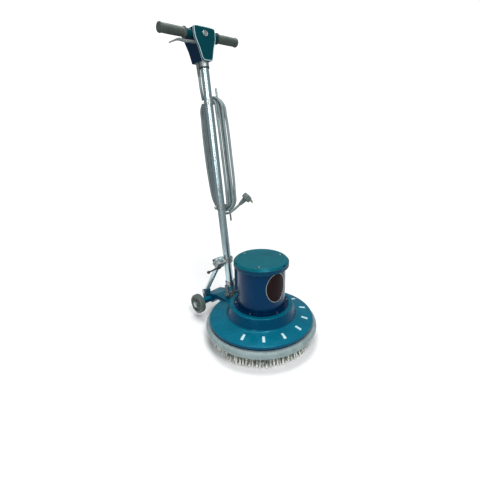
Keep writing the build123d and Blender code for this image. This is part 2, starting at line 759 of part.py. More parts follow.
leg_inner_x = ear_outer_x + run_gap
leg_outer_x = leg_inner_x + leg_thickness
pivot_end = leg_outer_x + run_gap
with BuildPart() as pivot_bolts:
    with BuildSketch(along_x(-pivot_end - 5, pivot_y, pivot_z)):
        Circle(pivot_radius)
    extrude(amount=2 * pivot_end + 10)
    for start, amount in ((pivot_end, 6), (-pivot_end, -6)):
        with BuildSketch(along_x(start, pivot_y, pivot_z)):
            RegularPolygon(9, 6)
        extrude(amount=amount)
    with BuildSketch(Plane.XY.offset(tail_pad_height + 4)):
        with Locations(*[(0, y) for y in bracket_bolt_ys]):
            RegularPolygon(7.5, 6)
    extrude(amount=5)
    with BuildSketch(Plane.XY.offset(tail_pad_height + 4)):
        with Locations(*[(0, y) for y in bracket_bolt_ys]):
            Circle(4)
    extrude(amount=-12.5)
    strut_pin_half = ear_gap + strut_ear_thickness
    with BuildSketch(along_x(strut_x, strut_foot_y, strut_foot_z)):
        Circle(strut_pin_radius)
    extrude(amount=strut_pin_half + 2, both=True)
    for start, amount in ((strut_x + strut_pin_half, 3), (strut_x - strut_pin_half, -3)):
        with BuildSketch(along_x(start, strut_foot_y, strut_foot_z)):
            Circle(8)
        extrude(amount=amount)
finish(pivot_bolts, "pivot_bolts")

# ==== handle: everything below is placed along the leaning tube ====================================
tube_axis = Vector(0, sin(radians(lean)), cos(radians(lean)))
handle_plane = Plane(origin=(0, pivot_y, pivot_z), x_dir=(1, 0, 0), z_dir=tube_axis)
rearward = handle_plane.y_dir


def at(x, y, height):
    """A point from its distance right or left, rearward, and up the tube from the pivot."""
    return handle_plane.from_local_coords(Vector(x, y, height))


def across(height):
    return handle_plane.offset(height)


def front_plane(y):
    """The plane of the head's face, y rearward of the tube's axis; it extrudes to the front."""
    return Plane(origin=at(0, y, 0), x_dir=(1, 0, 0), z_dir=-rearward)


def side_plane(x, y=0.0, height=0.0):
    return Plane(origin=at(x, y, height), x_dir=rearward, z_dir=(1, 0, 0))


with BuildPart() as fork:
    for inner_x in (leg_inner_x, -leg_outer_x):
        with BuildSketch(side_plane(inner_x)):
            with Locations((0, leg_top / 2)):
                Rectangle(2 * leg_half_width, leg_top)
            Circle(ear_radius)
            Circle(pivot_radius + shaft_gap, mode=Mode.SUBTRACT)
        extrude(amount=leg_thickness)
    with BuildSketch(across(leg_top)):
        Rectangle(2 * leg_outer_x, 2 * leg_half_width)
    extrude(amount=-6)
    with BuildSketch(across(leg_top - 6)):
        Circle(socket_radius)
    extrude(amount=6 + socket_length)
    with BuildSketch(across(leg_top)):
        Circle(tube_radius + seat_gap)
    extrude(amount=socket_length, mode=Mode.SUBTRACT)
finish(fork, "handle_fork")

with BuildPart() as tube:
    with BuildSketch(across(leg_top)):
        Circle(tube_radius)
        Circle(tube_radius - tube_wall, mode=Mode.SUBTRACT)
    extrude(amount=tube_top - leg_top)
finish(tube, "handle_tube")

stud_end = strut_x + strut_radius + guide_gap + 1.4
block_inner_x = -clamp_collar_radius - 1.5
with BuildPart() as collar:
    with BuildSketch(across(clamp_height - clamp_collar_half)):
        Circle(clamp_collar_radius)
    extrude(amount=2 * clamp_collar_half)
    with BuildSketch(side_plane(0, 0, clamp_height)):
        Circle(clamp_stud_radius)
    extrude(amount=stud_end)
    with BuildSketch(side_plane(0, 0, clamp_height)):
        Circle(8)
    extrude(amount=block_inner_x + run_gap)
    with BuildSketch(side_plane(0, 0, clamp_height)):
        Circle(5)
    extrude(amount=clamp_collar_radius + 5)
    with BuildSketch(across(clamp_height - clamp_collar_half)):
        Circle(tube_radius + seat_gap)
    extrude(amount=2 * clamp_collar_half, mode=Mode.SUBTRACT)
finish(collar, "clamp_collar")

# ---- strut and clamp block --------------------------------------------------------------------------
strut_foot = Vector(strut_x, strut_foot_y, strut_foot_z)
clamp_centre = at(strut_x, 0, clamp_height)
strut_axis = (clamp_centre - strut_foot).normalized()
strut_length = (clamp_centre - strut_foot).length + clamp_block_half + 5
strut_plane = Plane(origin=strut_foot, x_dir=(1, 0, 0), z_dir=strut_axis)
with BuildPart() as strut:
    with BuildSketch(strut_plane):
        Circle(strut_radius)
    extrude(amount=strut_length)
    with BuildSketch(strut_plane.offset(20)):
        Circle(strut_radius - strut_wall)
    extrude(amount=strut_length - 23, mode=Mode.SUBTRACT)
    with BuildSketch(along_x(strut_x - strut_radius, strut_foot_y, strut_foot_z)):
        Circle(strut_eye_radius)
    extrude(amount=2 * strut_radius)
    with BuildSketch(along_x(strut_x - strut_radius, strut_foot_y, strut_foot_z)):
        Circle(strut_pin_radius + shaft_gap)
    extrude(amount=2 * strut_radius, mode=Mode.SUBTRACT)
finish(strut, "strut_tube")

clamp_plane = Plane(origin=clamp_centre, x_dir=(1, 0, 0), z_dir=strut_axis)
block_outer_x = strut_x - strut_radius - guide_gap - 12
block_width = block_inner_x - block_outer_x
block_middle = (block_inner_x + block_outer_x) / 2 - strut_x
screw_x = block_outer_x + 5.5 - strut_x
clamp_depth = strut_radius + guide_gap + 6
with BuildPart() as clamp_block:
    with BuildSketch(clamp_plane.offset(-clamp_block_half)):
        with Locations((block_middle, 0)):
            RectangleRounded(block_width, 2 * clamp_depth, 5)
    extrude(amount=2 * clamp_block_half)
    with BuildSketch(clamp_plane.offset(-clamp_block_half)):
        Circle(strut_radius + guide_gap)
        with Locations((block_outer_x - strut_x, 0)):
            Rectangle(30, clamp_slit)
    extrude(amount=2 * clamp_block_half, mode=Mode.SUBTRACT)
    with BuildSketch(side_plane(block_inner_x, 0, clamp_height)):
        Circle(clamp_stud_radius + shaft_gap)
    extrude(amount=stud_end - block_inner_x - run_gap, mode=Mode.SUBTRACT)
    lever_plane = Plane(origin=clamp_plane.from_local_coords(Vector(screw_x, 0, 0)),
                        x_dir=(-1, 0, 0), z_dir=-clamp_plane.y_dir)
    with BuildSketch(lever_plane):
        Circle(lever_screw_radius + shaft_gap)
    extrude(amount=clamp_depth, both=True, mode=Mode.SUBTRACT)
finish(clamp_block, "clamp_block")

arm_plane = lever_plane.offset(clamp_depth + 5)
arm_root = arm_plane.origin
arm_tip = arm_plane.from_local_coords(
    Vector(lever_length * cos(radians(lever_droop)), lever_length * sin(radians(lever_droop)), 0))
with BuildPart() as lever:
    with BuildSketch(lever_plane.offset(clamp_depth + run_gap)):
        Circle(8)
    extrude(amount=9)
    with BuildSketch(lever_plane.offset(-clamp_depth - 1)):
        Circle(lever_screw_radius)
    extrude(amount=2 * clamp_depth + 3)
    with BuildSketch(lever_plane.offset(-clamp_depth - run_gap)):
        RegularPolygon(7, 6)
    extrude(amount=-4)
    with BuildSketch(Plane(origin=arm_root, z_dir=arm_tip - arm_root)):
        Circle(3.2)
    extrude(amount=lever_length)
    with Locations(Plane(origin=arm_tip, z_dir=arm_tip - arm_root).location):
        Sphere(6.5)
finish(lever, "clamp_lever")

# ---- head ---------------------------------------------------------------------------------------
head_points = [(w, h) for h, w in head_half_widths] + [(-w, h) for h, w in reversed(head_half_widths)]


def head_outline(inset=0.0):
    """The head's outline as a face on XY, drawn in by a distance."""
    with BuildSketch(mode=Mode.PRIVATE) as outline:
        with BuildLine():
            Polyline(*head_points, close=True)
        make_face()
        fillet(outline.vertices().group_by(Axis.Y)[-1], radius=6)
        if inset:
            offset(amount=-inset, kind=Kind.INTERSECTION)
    return outline.sketch


trim_front = head_front + head_cover_thickness
housing_front = trim_front + head_trim_thickness
trigger_pivot = (-tube_radius - 12.125, head_bottom + 62)
slot_front, slot_rear = -15.0, -1.0
with BuildPart() as head:
    with BuildSketch(front_plane(head_rear)):
        add(head_outline())
    extrude(amount=head_rear - housing_front)
    fillet(head.faces().sort_by(Axis.Y)[-1].edges(), radius=5)
    with BuildSketch(front_plane(head_rear - head_wall)):
        add(head_outline(head_wall))
    extrude(amount=head_rear - head_wall - housing_front, mode=Mode.SUBTRACT)
    with BuildSketch(across(head_bottom)):
        Circle(tube_radius + 4)
    extrude(amount=28)
    with BuildSketch(across(head_bottom)):
        Circle(tube_radius + seat_gap)
    extrude(amount=28, mode=Mode.SUBTRACT)
    with BuildSketch(side_plane(run_gap - grip_start, 0, bar_height)):
        Circle(bar_boss_radius)
    extrude(amount=2 * (grip_start - run_gap))
    with BuildSketch(side_plane(-grip_start, 0, bar_height)):
        Circle(bar_radius + seat_gap)
    extrude(amount=2 * grip_start, mode=Mode.SUBTRACT)
    with BuildSketch(front_plane(slot_rear)):
        with Locations((trigger_pivot[0] - 18, trigger_pivot[1] + 1)):
            Rectangle(38, 18)
    extrude(amount=slot_rear - slot_front, mode=Mode.SUBTRACT)
finish(head, "head_housing")

with BuildPart() as trim:
    with BuildSketch(front_plane(housing_front)):
        add(head_outline(-0.8))
    extrude(amount=head_trim_thickness)
    with BuildSketch(front_plane(housing_front)):
        add(head_outline(head_wall))
    extrude(amount=head_trim_thickness, mode=Mode.SUBTRACT)
    with BuildSketch(across(head_bottom - 2)):
        Circle(tube_radius + 4.2)
    extrude(amount=28 + 2, mode=Mode.SUBTRACT)
finish(trim, "head_trim")

with BuildPart() as head_cover:
    with BuildSketch(front_plane(trim_front)):
        add(head_outline())
    extrude(amount=head_cover_thickness)
    fillet(head_cover.faces().sort_by(Axis.Y)[0].edges(), radius=2.5)
finish(head_cover, "head_cover")

with BuildPart() as badge:
    with BuildSketch(front_plane(head_front)):
        with Locations((0, bar_height)):
            Circle(badge_radius)
    extrude(amount=badge_thickness)
finish(badge, "head_badge")

with BuildPart() as bar:
    with BuildSketch(side_plane(-bar_half_length, 0, bar_height)):
        Circle(bar_radius)
        Circle(bar_radius - bar_wall, mode=Mode.SUBTRACT)
    extrude(amount=2 * bar_half_length)
finish(bar, "handle_bar")

with BuildPart() as grips:
    length = bar_half_length - grip_start + grip_end_wall
    for sign in (-1, 1):
        with BuildSketch(side_plane(sign * grip_start, 0, bar_height)):
            Circle(grip_radius)
        extrude(amount=sign * length)
        with BuildSketch(side_plane(sign * grip_start, 0, bar_height)):
            Circle(grip_radius + 4)
        extrude(amount=sign * 4)
        with BuildSketch(side_plane(sign * (grip_start + length - 6), 0, bar_height)):
            Circle(grip_radius + 1.5)
        extrude(amount=sign * 6)
        with BuildSketch(side_plane(sign * grip_start, 0, bar_height)):
            Circle(bar_radius + seat_gap)
        extrude(amount=sign * (length - grip_end_wall), mode=Mode.SUBTRACT)
finish(grips, "hand_grips")

lever_front, lever_rear = -14.0, -2.0
pivot_x, pivot_h = trigger_pivot
with BuildPart() as trigger:
    with BuildSketch(front_plane(lever_rear)):
        with BuildLine():
            upper = [(pivot_x - 4, pivot_h + 4)] + [(x, pivot_h + rise) for x, rise in (
                (-60, 4), (-82, 3), (-105, 4), (-124, -3), (-142, -12))]
            lower = [(x, pivot_h + rise) for x, rise in (
                (-144, -17), (-124, -9), (-105, -3), (-82, -4.5), (-60, -3))]
            lower.append((pivot_x - 4, pivot_h - 4))
            Spline(*upper)
            Line(upper[-1], lower[0])
            Spline(*lower)
            Line((pivot_x - 4, pivot_h - 4), (pivot_x - 4, pivot_h + 4))
        make_face()
        with Locations(trigger_pivot):
            Circle(7)
    extrude(amount=lever_rear - lever_front)
    with BuildSketch(front_plane(lever_rear)):
        with Locations(trigger_pivot):
            Circle(3 + shaft_gap)
    extrude(amount=lever_rear - lever_front, mode=Mode.SUBTRACT)
finish(trigger, "trigger_lever")

pin_rear = head_rear - head_wall
with BuildPart() as trigger_pin:
    with BuildSketch(front_plane(pin_rear)):
        with Locations(trigger_pivot):
            Circle(3)
    extrude(amount=pin_rear - trim_front)
finish(trigger_pin, "trigger_pin")

with BuildPart() as trigger_spring:
    with BuildSketch(front_plane(lever_rear + 12)):
        with Locations(trigger_pivot):
            Circle(4.8)
            Circle(3 + seat_gap, mode=Mode.SUBTRACT)
    extrude(amount=10)
finish(trigger_spring, "trigger_spring")

switch_inner_x = -tube_radius - 1.5
with BuildPart() as switch:
    with BuildSketch(front_plane(pin_rear)):
        with Locations((switch_inner_x - 3.4, pivot_h)):
            RectangleRounded(6.8, 26, 1)
    extrude(amount=15)
finish(switch, "switch_unit")

with BuildPart() as head_collar:
    with BuildSketch(across(head_bottom)):
        Circle(head_collar_radius)
        Circle(tube_radius + seat_gap, mode=Mode.SUBTRACT)
    extrude(amount=-head_collar_length)
finish(head_collar, "head_collar")

with BuildPart() as relief:
    with BuildSketch(across(head_bottom)):
        with Locations((relief_x, relief_y)):
            Circle(relief_radius)
    extrude(amount=-relief_length, taper=1.6)
finish(relief, "strain_relief")

# ---- cord hooks -------------------------------------------------------------------------------------
hook_dir = (Vector(1, 0, 0) * cos(radians(hook_turn)) + rearward * sin(radians(hook_turn))).normalized()
hook_side = hook_dir.cross(tube_axis) * -1


def hank_point(side, reach, height):
    """A point beside the tube: side along the loops' plane, reach along the hooks, height up it."""
    return at(0, 0, height) + hook_side * side * -1 + hook_dir * reach


lug_dir = Vector(1, 0, 0) * -cos(radians(30)) + rearward * sin(radians(30))
with BuildPart() as hooks:
    for height, tip in hook_heights:
        with BuildSketch(across(height - hook_band / 2)):
            Circle(tube_radius + 4)
        extrude(amount=hook_band)
        with BuildLine():
            rod = FilletPolyline(at(0, 0, height), at(0, 0, height) + hook_dir * hook_reach,
                                 at(0, 0, height + tip) + hook_dir * hook_reach, radius=9)
        with BuildSketch(Plane(origin=rod @ 0, z_dir=rod % 0)):
            Circle(hook_rod_radius)
        sweep(path=rod)
        with BuildSketch(Plane(origin=at(0, 0, height), x_dir=tube_axis, z_dir=lug_dir)):
            RectangleRounded(14, 9, 2)
        extrude(amount=tube_radius + 11)
        with BuildSketch(across(height - hook_band / 2)):
            Circle(tube_radius + seat_gap)
        extrude(amount=hook_band, mode=Mode.SUBTRACT)
finish(hooks, "cord_hooks")

# ---- cord: the lead from the head, the wound hank, the short end to the plug -------------------------
lead_points = [at(relief_x, relief_y, head_bottom - relief_length),
               at(relief_x, relief_y, head_bottom - relief_length - 42),
               hank_point(-38, 24, upper_hook + 5)]
tail_start = hank_point(34, 34, lower_hook - 23)
tail_dir = (hank_point(0.67, 0.38, 0.64) - hank_point(0, 0, 0)).normalized()
tail_length = 42.0
plug_start = tail_start + tail_dir * tail_length


def arc_radii(points):
    """The largest bend that each corner of a route allows: 0.45 of its shorter run."""
    radii = []
    for before, corner, after in zip(points, points[1:], points[2:]):
        turn_angle = radians((corner - before).get_angle(after - corner))
        run = min((corner - before).length, (after - corner).length)
        radii.append(0.45 * run / tan(turn_angle / 2))
    return radii


print("cord bend radii", [round(r, 1) for r in arc_radii(lead_points)])
lead_dir = (lead_points[2] - lead_points[1]).normalized()
with BuildPart() as cord_runs:
    with BuildLine():
        route = FilletPolyline(*lead_points, radius=arc_radii(lead_points)[0])
    with BuildSketch(Plane(origin=route @ 0, z_dir=route % 0)):
        Circle(cord_radius)
    sweep(path=route)
    with BuildSketch(Plane(origin=tail_start, z_dir=tail_dir)):
        Circle(cord_radius)
    extrude(amount=tail_length)
finish(cord_runs, "cord_runs")

# The hank is a flat racetrack of turns that hang over both hooks, behind the tube.
hank_plane = Plane(origin=hank_point(0, hank_near, 0), x_dir=-hook_side, z_dir=hook_dir)
hank_up = 1 if hank_plane.y_dir.dot(tube_axis) > 0 else -1
hank_outer = [(-48, lower_hook - 19), (-58, lower_hook + 45), (-57, upper_hook - 65),
              (-45, upper_hook + 5), (-20, upper_hook + 25), (12, upper_hook + 24), (40, upper_hook),
              (55, upper_hook - 55), (56, lower_hook + 45), (46, lower_hook - 19), (22, lower_hook - 43),
              (-22, lower_hook - 43)]
hank_inner = [(-16, lower_hook - 11), (-30, lower_hook + 45), (-30, upper_hook - 35),
              (-14, upper_hook + 6), (6, upper_hook + 6), (12, upper_hook - 25), (12, lower_hook + 35),
              (8, lower_hook - 11)]
pocket_radius = cord_radius + 1
with BuildPart() as hank:
    with BuildSketch(hank_plane):
        with BuildLine():
            Spline(*[(x, hank_up * y) for x, y in hank_outer], periodic=True)
        make_face()
        with BuildLine():
            Polyline(*[(x, hank_up * y) for x, y in hank_inner], close=True)
        make_face(mode=Mode.SUBTRACT)
    extrude(amount=hank_far - hank_near)
    with BuildSketch(Plane(origin=lead_points[2], z_dir=-lead_dir)):
        Circle(pocket_radius)
    extrude(amount=60, mode=Mode.SUBTRACT)
    with BuildSketch(Plane(origin=tail_start, z_dir=tail_dir)):
        Circle(pocket_radius)
    extrude(amount=60, mode=Mode.SUBTRACT)
finish(hank, "cord_hank")

# ---- plug ---------------------------------------------------------------------------------------
pin_rough = hank_point(0.2, 0.62, -0.74) - hank_point(0, 0, 0)
pin_dir = (pin_rough - tail_dir * pin_rough.dot(tail_dir)).normalized()
plug_sleeve = 26.0
plug_body_length = 24.0
plug_body_width = 36.0
plug_body_depth = 28.0
pin_radius = 2.4
pin_length = 19.0
pin_spacing = 19.0
plug_centre = plug_start + tail_dir * (plug_sleeve + plug_body_length / 2)
plug_plane = Plane(origin=plug_centre, x_dir=tail_dir, z_dir=pin_dir)
with BuildPart() as plug:
    with BuildSketch(plug_plane.offset(-plug_body_depth / 2)):
        RectangleRounded(plug_body_length, plug_body_width, 8)
    extrude(amount=plug_body_depth)
    with BuildSketch(Plane(origin=plug_start, x_dir=pin_dir, z_dir=tail_dir)):
        Circle(7)
    with BuildSketch(Plane(origin=plug_start + tail_dir * (plug_sleeve + 2), x_dir=pin_dir,
                           z_dir=tail_dir)):
        Circle(11)
    loft()
finish(plug, "plug_body")

with BuildPart() as pins:
    with BuildSketch(plug_plane.offset(plug_body_depth / 2)):
        with Locations((0, -pin_spacing / 2), (3, 0), (0, pin_spacing / 2)):
            Circle(pin_radius)
    extrude(amount=pin_length)
finish(pins, "plug_pins")
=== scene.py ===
"""Looks for the single-disc floor machine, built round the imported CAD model. Everything is in metres."""
import json
import math
import random

import bmesh
import bpy
from mathutils import Matrix, Vector

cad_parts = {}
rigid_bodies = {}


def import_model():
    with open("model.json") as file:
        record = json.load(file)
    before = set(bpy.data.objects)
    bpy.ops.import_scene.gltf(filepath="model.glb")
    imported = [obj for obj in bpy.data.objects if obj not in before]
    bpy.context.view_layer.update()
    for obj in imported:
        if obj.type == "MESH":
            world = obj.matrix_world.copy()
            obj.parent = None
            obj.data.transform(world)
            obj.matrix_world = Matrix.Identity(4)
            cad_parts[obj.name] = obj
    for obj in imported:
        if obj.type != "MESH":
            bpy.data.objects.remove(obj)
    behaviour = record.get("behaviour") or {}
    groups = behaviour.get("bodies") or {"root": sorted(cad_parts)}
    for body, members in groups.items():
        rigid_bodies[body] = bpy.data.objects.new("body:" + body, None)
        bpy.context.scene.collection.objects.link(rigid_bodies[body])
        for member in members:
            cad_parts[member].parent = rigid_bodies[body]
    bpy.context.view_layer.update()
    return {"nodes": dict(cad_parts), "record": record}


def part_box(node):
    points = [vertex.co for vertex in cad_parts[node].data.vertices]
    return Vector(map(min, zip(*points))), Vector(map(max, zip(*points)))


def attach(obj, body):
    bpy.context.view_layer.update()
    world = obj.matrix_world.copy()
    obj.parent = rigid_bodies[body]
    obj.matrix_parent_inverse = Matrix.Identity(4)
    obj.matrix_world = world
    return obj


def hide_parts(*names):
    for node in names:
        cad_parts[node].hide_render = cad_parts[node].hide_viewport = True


for old in list(bpy.data.objects):
    bpy.data.objects.remove(old)

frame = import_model()
nodes = frame["nodes"]
rng = random.Random(7)  # the bristles' unevenness, the same every run
mm = 0.001

# ---- camera -------------------------------------------------------------------------------------
CAMERA_PLACE = Vector((-0.83769, -0.81401, 0.83665))
CAMERA_TARGET = Vector((0, 0, 0.5))


def link(obj):
    bpy.context.scene.collection.objects.link(obj)
    return obj


def aim(obj, target):
    """Turns a camera or a light to look at a point."""
    obj.rotation_euler = (Vector(target) - Vector(obj.location)).to_track_quat("-Z", "Y").to_euler()


camera = link(bpy.data.objects.new("camera", bpy.data.cameras.new("camera")))
camera.location = CAMERA_PLACE
aim(camera, CAMERA_TARGET)
camera.data.sensor_width = 36
camera.data.lens = 24.10
camera.data.shift_x = -0.04260
camera.data.shift_y = -0.06918
camera.data.clip_start = 0.01
camera.data.clip_end = 50
bpy.context.scene.camera = camera

# ---- the leaning handle's frame -------------------------------------------------------------------
# the machine's numbers below are the CAD model's own, in millimetres beside the handle tube or in metres
LEAN = math.radians(7.6)
PIVOT = Vector((0, 0.180, 0.118))
TUBE = Vector((0, math.sin(LEAN), math.cos(LEAN)))
REAR = Vector((0, math.cos(LEAN), -math.sin(LEAN)))
RIGHT_X = Vector((1, 0, 0))


def at(x, y, height):
    """A point beside the tube, from millimetres across, rearward and up the tube from its pivot."""
    return PIVOT + (RIGHT_X * x + REAR * y + TUBE * height) * mm


HOOK_TURN = math.radians(15)
HOOKS = (RIGHT_X * math.cos(HOOK_TURN) + REAR * math.sin(HOOK_TURN)).normalized()
LOOPS = HOOKS.cross(TUBE).normalized()


def hank_point(side, reach, height):
    """A point of the wound cord: side in the loops' plane, reach along the hooks, height up the tube."""
    return PIVOT + (LOOPS * side + HOOKS * reach + TUBE * height) * mm


def matrix_for(origin, axis, across=None):
    """A frame at origin whose Z is axis, and whose X is as near across as it can be."""
    z = Vector(axis).normalized()
    if across is None:
        across = (1, 0, 0) if abs(z.x) < 0.8 else (0, 1, 0)
    y = z.cross(Vector(across)).normalized()
    x = y.cross(z)
    return Matrix.Translation(Vector(origin)) @ Matrix((x, y, z)).transposed().to_4x4()


# ---- mesh helpers -----------------------------------------------------------------------------------
def mesh_object(name, bm, sharp_deg=35):
    """An object from a bmesh, smooth except at edges sharper than an angle."""
    bmesh.ops.recalc_face_normals(bm, faces=bm.faces)
    limit = math.radians(sharp_deg)
    for edge in bm.edges:
        edge.smooth = len(edge.link_faces) == 2 and edge.calc_face_angle(0) < limit
    for face in bm.faces:
        face.smooth = True
    mesh = bpy.data.meshes.new(name)
    bm.to_mesh(mesh)
    bm.free()
    return link(bpy.data.objects.new(name, mesh))


def circle(radius, height, count):
    """Points round the Z axis at a height."""
    angles = (2 * math.pi * k / count for k in range(count))
    return [Vector((radius * math.cos(a), radius * math.sin(a), height)) for a in angles]


def ring_of(bm, place, points):
    return [bm.verts.new(place @ point) for point in points]


def join_rings(bm, first, second, left_out=()):
    """A band of faces between two closed rings of the same count."""
    count = len(first)
    for k in range(count):
        if k not in left_out:
            n = (k + 1) % count
            bm.faces.new((first[k], first[n], second[n], second[k]))


def nurbs_object(name, points, thickness, closed=False, resolution=6, bevel_resolution=5):
    """A round cord or bead whose smooth line has these control points."""
    curve = bpy.data.curves.new(name, "CURVE")
    curve.dimensions = "3D"
    spline = curve.splines.new("NURBS")
    spline.points.add(len(points) - 1)
    for point, where in zip(spline.points, points):
        point.co = (*where, 1)
    spline.order_u = 3
    if closed:
        spline.use_cyclic_u = True
    else:
        spline.use_endpoint_u = True
        curve.use_fill_caps = True
    curve.resolution_u = resolution
    curve.bevel_depth = thickness / 2
    curve.bevel_resolution = bevel_resolution
    return link(bpy.data.objects.new(name, curve))


def lathe_into(bm, profile, place, segments=64, closed=False):
    """Revolves (radius, height) points about the Z of a placement; a radius of 0 closes the end."""
    rings = []
    for radius, height in profile:
        points = [Vector((0, 0, height))] if radius == 0 else circle(radius, height, segments)
        rings.append(ring_of(bm, place, points))
    pairs = list(zip(rings, rings[1:])) + ([(rings[-1], rings[0])] if closed else [])
    for low, high in pairs:
        if len(low) == len(high):
            join_rings(bm, low, high)
            continue
        for k in range(segments):
            n = (k + 1) % segments
            if len(low) == 1:
                bm.faces.new((low[0], high[n], high[k]))
            else:
                bm.faces.new((low[k], low[n], high[0]))


def lathe(name, profile, place, segments=64, closed=False, sharp_deg=35):
    bm = bmesh.new()
    lathe_into(bm, profile, place, segments, closed)
    return mesh_object(name, bm, sharp_deg)


def rounded(points, radius, steps=4):
    """A (radius, height) outline with its inner corners turned into short arcs."""
    out = [points[0]]
    for before, corner, after in zip(points, points[1:], points[2:]):
        b, c, a = (Vector(p) for p in (before, corner, after))
        reach = min(radius, 0.45 * (b - c).length, 0.45 * (a - c).length)
        start, end = c + (b - c).normalized() * reach, c + (a - c).normalized() * reach
        for k in range(steps + 1):
            t = k / steps
            out.append(tuple(start * (1 - t) ** 2 + c * 2 * t * (1 - t) + end * t * t))
    out.append(points[-1])
    return out


# ---- materials ----------------------------------------------------------------------------------------
TEAL_DECK = (0.0, 0.100, 0.158)
TEAL_LID = (0.0, 0.082, 0.108)
NAVY = (0.0, 0.014, 0.050)
# painted shade: the deck's and lid's upright faces in a darker colour
SHADED_TEAL = (0.0, 0.040, 0.090)
SHADED_LID = (0.0, 0.024, 0.062)
TEAL_GLOSS = (0.10, 0.55, 0.75)
NAVY_GLOSS = (0.05, 0.40, 0.85)


def principled(name, base, rough, metallic=0.0, coat=0.0, coat_rough=0.1, sheen=0.0, specular=0.5):
    material = bpy.data.materials.new(name)
    material.use_nodes = True
    tree = material.node_tree
    shader = tree.nodes["Principled BSDF"]
    shader.inputs["Base Color"].default_value = (*base, 1)
    shader.inputs["Roughness"].default_value = rough
    shader.inputs["Metallic"].default_value = metallic
    shader.inputs["Coat Weight"].default_value = coat
    shader.inputs["Coat Roughness"].default_value = coat_rough
    shader.inputs["Sheen Weight"].default_value = sheen
    shader.inputs["Specular IOR Level"].default_value = specular
    return material, tree, shader


def noise(tree, scale, detail=4.0, stretch=(1, 1, 1)):
    """Noise in the object's own space, scale patches to the metre."""
    coords = tree.nodes.new("ShaderNodeTexCoord")
    mapping = tree.nodes.new("ShaderNodeMapping")
    mapping.inputs["Scale"].default_value = stretch
    texture = tree.nodes.new("ShaderNodeTexNoise")
    texture.inputs["Scale"].default_value = scale
    texture.inputs["Detail"].default_value = detail
    texture.inputs["Roughness"].default_value = 0.55
    tree.links.new(coords.outputs["Object"], mapping.inputs["Vector"])
    tree.links.new(mapping.outputs["Vector"], texture.inputs["Vector"])
    return texture.outputs["Fac"]


def ramp(tree, value, stops):
    """Colours along a value, from (position, colour) stops."""
    node = tree.nodes.new("ShaderNodeValToRGB")
    node.color_ramp.elements[0].position = stops[0][0]
    node.color_ramp.elements[0].color = (*stops[0][1], 1)
    node.color_ramp.elements[1].position = stops[-1][0]
    node.color_ramp.elements[1].color = (*stops[-1][1], 1)
    for position, colour in stops[1:-1]:
        node.color_ramp.elements.new(position).color = (*colour, 1)
    tree.links.new(value, node.inputs["Fac"])
    return node.outputs["Color"]


def span(tree, value, low, high, out_low, out_high):
    """A value from one range carried to another, and held at its ends."""
    node = tree.nodes.new("ShaderNodeMapRange")
    for socket, number in zip(("From Min", "From Max", "To Min", "To Max"), (low, high, out_low, out_high)):
        node.inputs[socket].default_value = number
    tree.links.new(value, node.inputs["Value"])
    return node.outputs["Result"]


def mix(tree, factor, first, second):
    """Mixes two colour sockets by a value socket."""
    node = tree.nodes.new("ShaderNodeMix")
    node.data_type = "RGBA"
    tree.links.new(factor, node.inputs["Factor"])
    for socket, colour in (("A", first), ("B", second)):
        target = next(i for i in node.inputs if i.name == socket and i.type == "RGBA")
        if hasattr(colour, "is_output"):
            tree.links.new(colour, target)
        else:
            target.default_value = (*colour, 1)
    return next(o for o in node.outputs if o.type == "RGBA")


def worn_edges(tree, radius):
    """0 on flat surfaces, towards 1 along edges."""
    bevel = tree.nodes.new("ShaderNodeBevel")
    bevel.samples = 4
    bevel.inputs["Radius"].default_value = radius
    geometry = tree.nodes.new("ShaderNodeNewGeometry")
    dot = tree.nodes.new("ShaderNodeVectorMath")
    dot.operation = "DOT_PRODUCT"
    tree.links.new(bevel.outputs["Normal"], dot.inputs[0])
    tree.links.new(geometry.outputs["Normal"], dot.inputs[1])
    edge = span(tree, dot.outputs["Value"], 0.75, 0.98, 1.0, 0.0)
    patches = span(tree, noise(tree, 90, 5), 0.42, 0.62, 0.0, 1.0)
    both = tree.nodes.new("ShaderNodeMath")
    both.operation = "MULTIPLY"
    tree.links.new(edge, both.inputs[0])
    tree.links.new(patches, both.inputs[1])
    return both.outputs["Value"]


def bump(tree, shader, value, strength, distance=0.0004):
    node = tree.nodes.new("ShaderNodeBump")
    node.inputs["Strength"].default_value = strength
    node.inputs["Distance"].default_value = distance
    tree.links.new(value, node.inputs["Height"])
    tree.links.new(node.outputs["Normal"], shader.inputs["Normal"])


def shades(base, low=0.82, high=1.14):
    """A colour's dark, plain and light forms."""
    return [tuple(min(1, c * low) for c in base), base, tuple(min(1, c * high) for c in base)]


def facing(tree, axis):
    """How far a surface faces along an axis."""
    geometry = tree.nodes.new("ShaderNodeNewGeometry")
    parts = tree.nodes.new("ShaderNodeSeparateXYZ")
    tree.links.new(geometry.outputs["Normal"], parts.inputs["Vector"])
    return parts.outputs[axis]


def paint(name, base, rough, wear, wear_radius=0.0015, upright_shade=None, gloss=TEAL_GLOSS):
    """Gloss enamel: slight orange peel, dusty patches, edges in the wear colour, and upright faces in a darker colour
    that is painted shade.
    """
    material, tree, shader = principled(name, base, rough, coat=0.03, coat_rough=0.08, specular=0.45)
    shader.inputs["Specular Tint"].default_value = (*gloss, 1)
    dark, middle, light = shades(base, 0.86, 1.12)
    colour = ramp(tree, noise(tree, 14, 5), [(0.3, dark), (0.5, middle), (0.72, light)])
    # upright faces are mixed to the darker colour by their normal: painted shade
    if upright_shade:
        colour = mix(tree, span(tree, facing(tree, "Z"), 0.35, 0.75, 1.0, 0.0), colour, upright_shade)
    colour = mix(tree, worn_edges(tree, wear_radius), colour, wear)
    tree.links.new(colour, shader.inputs["Base Color"])
    tree.links.new(span(tree, noise(tree, 35, 6), 0.3, 0.7, rough - 0.06, rough + 0.12), shader.inputs["Roughness"])
    bump(tree, shader, noise(tree, 420, 2), 0.10, 0.0002)
    return material


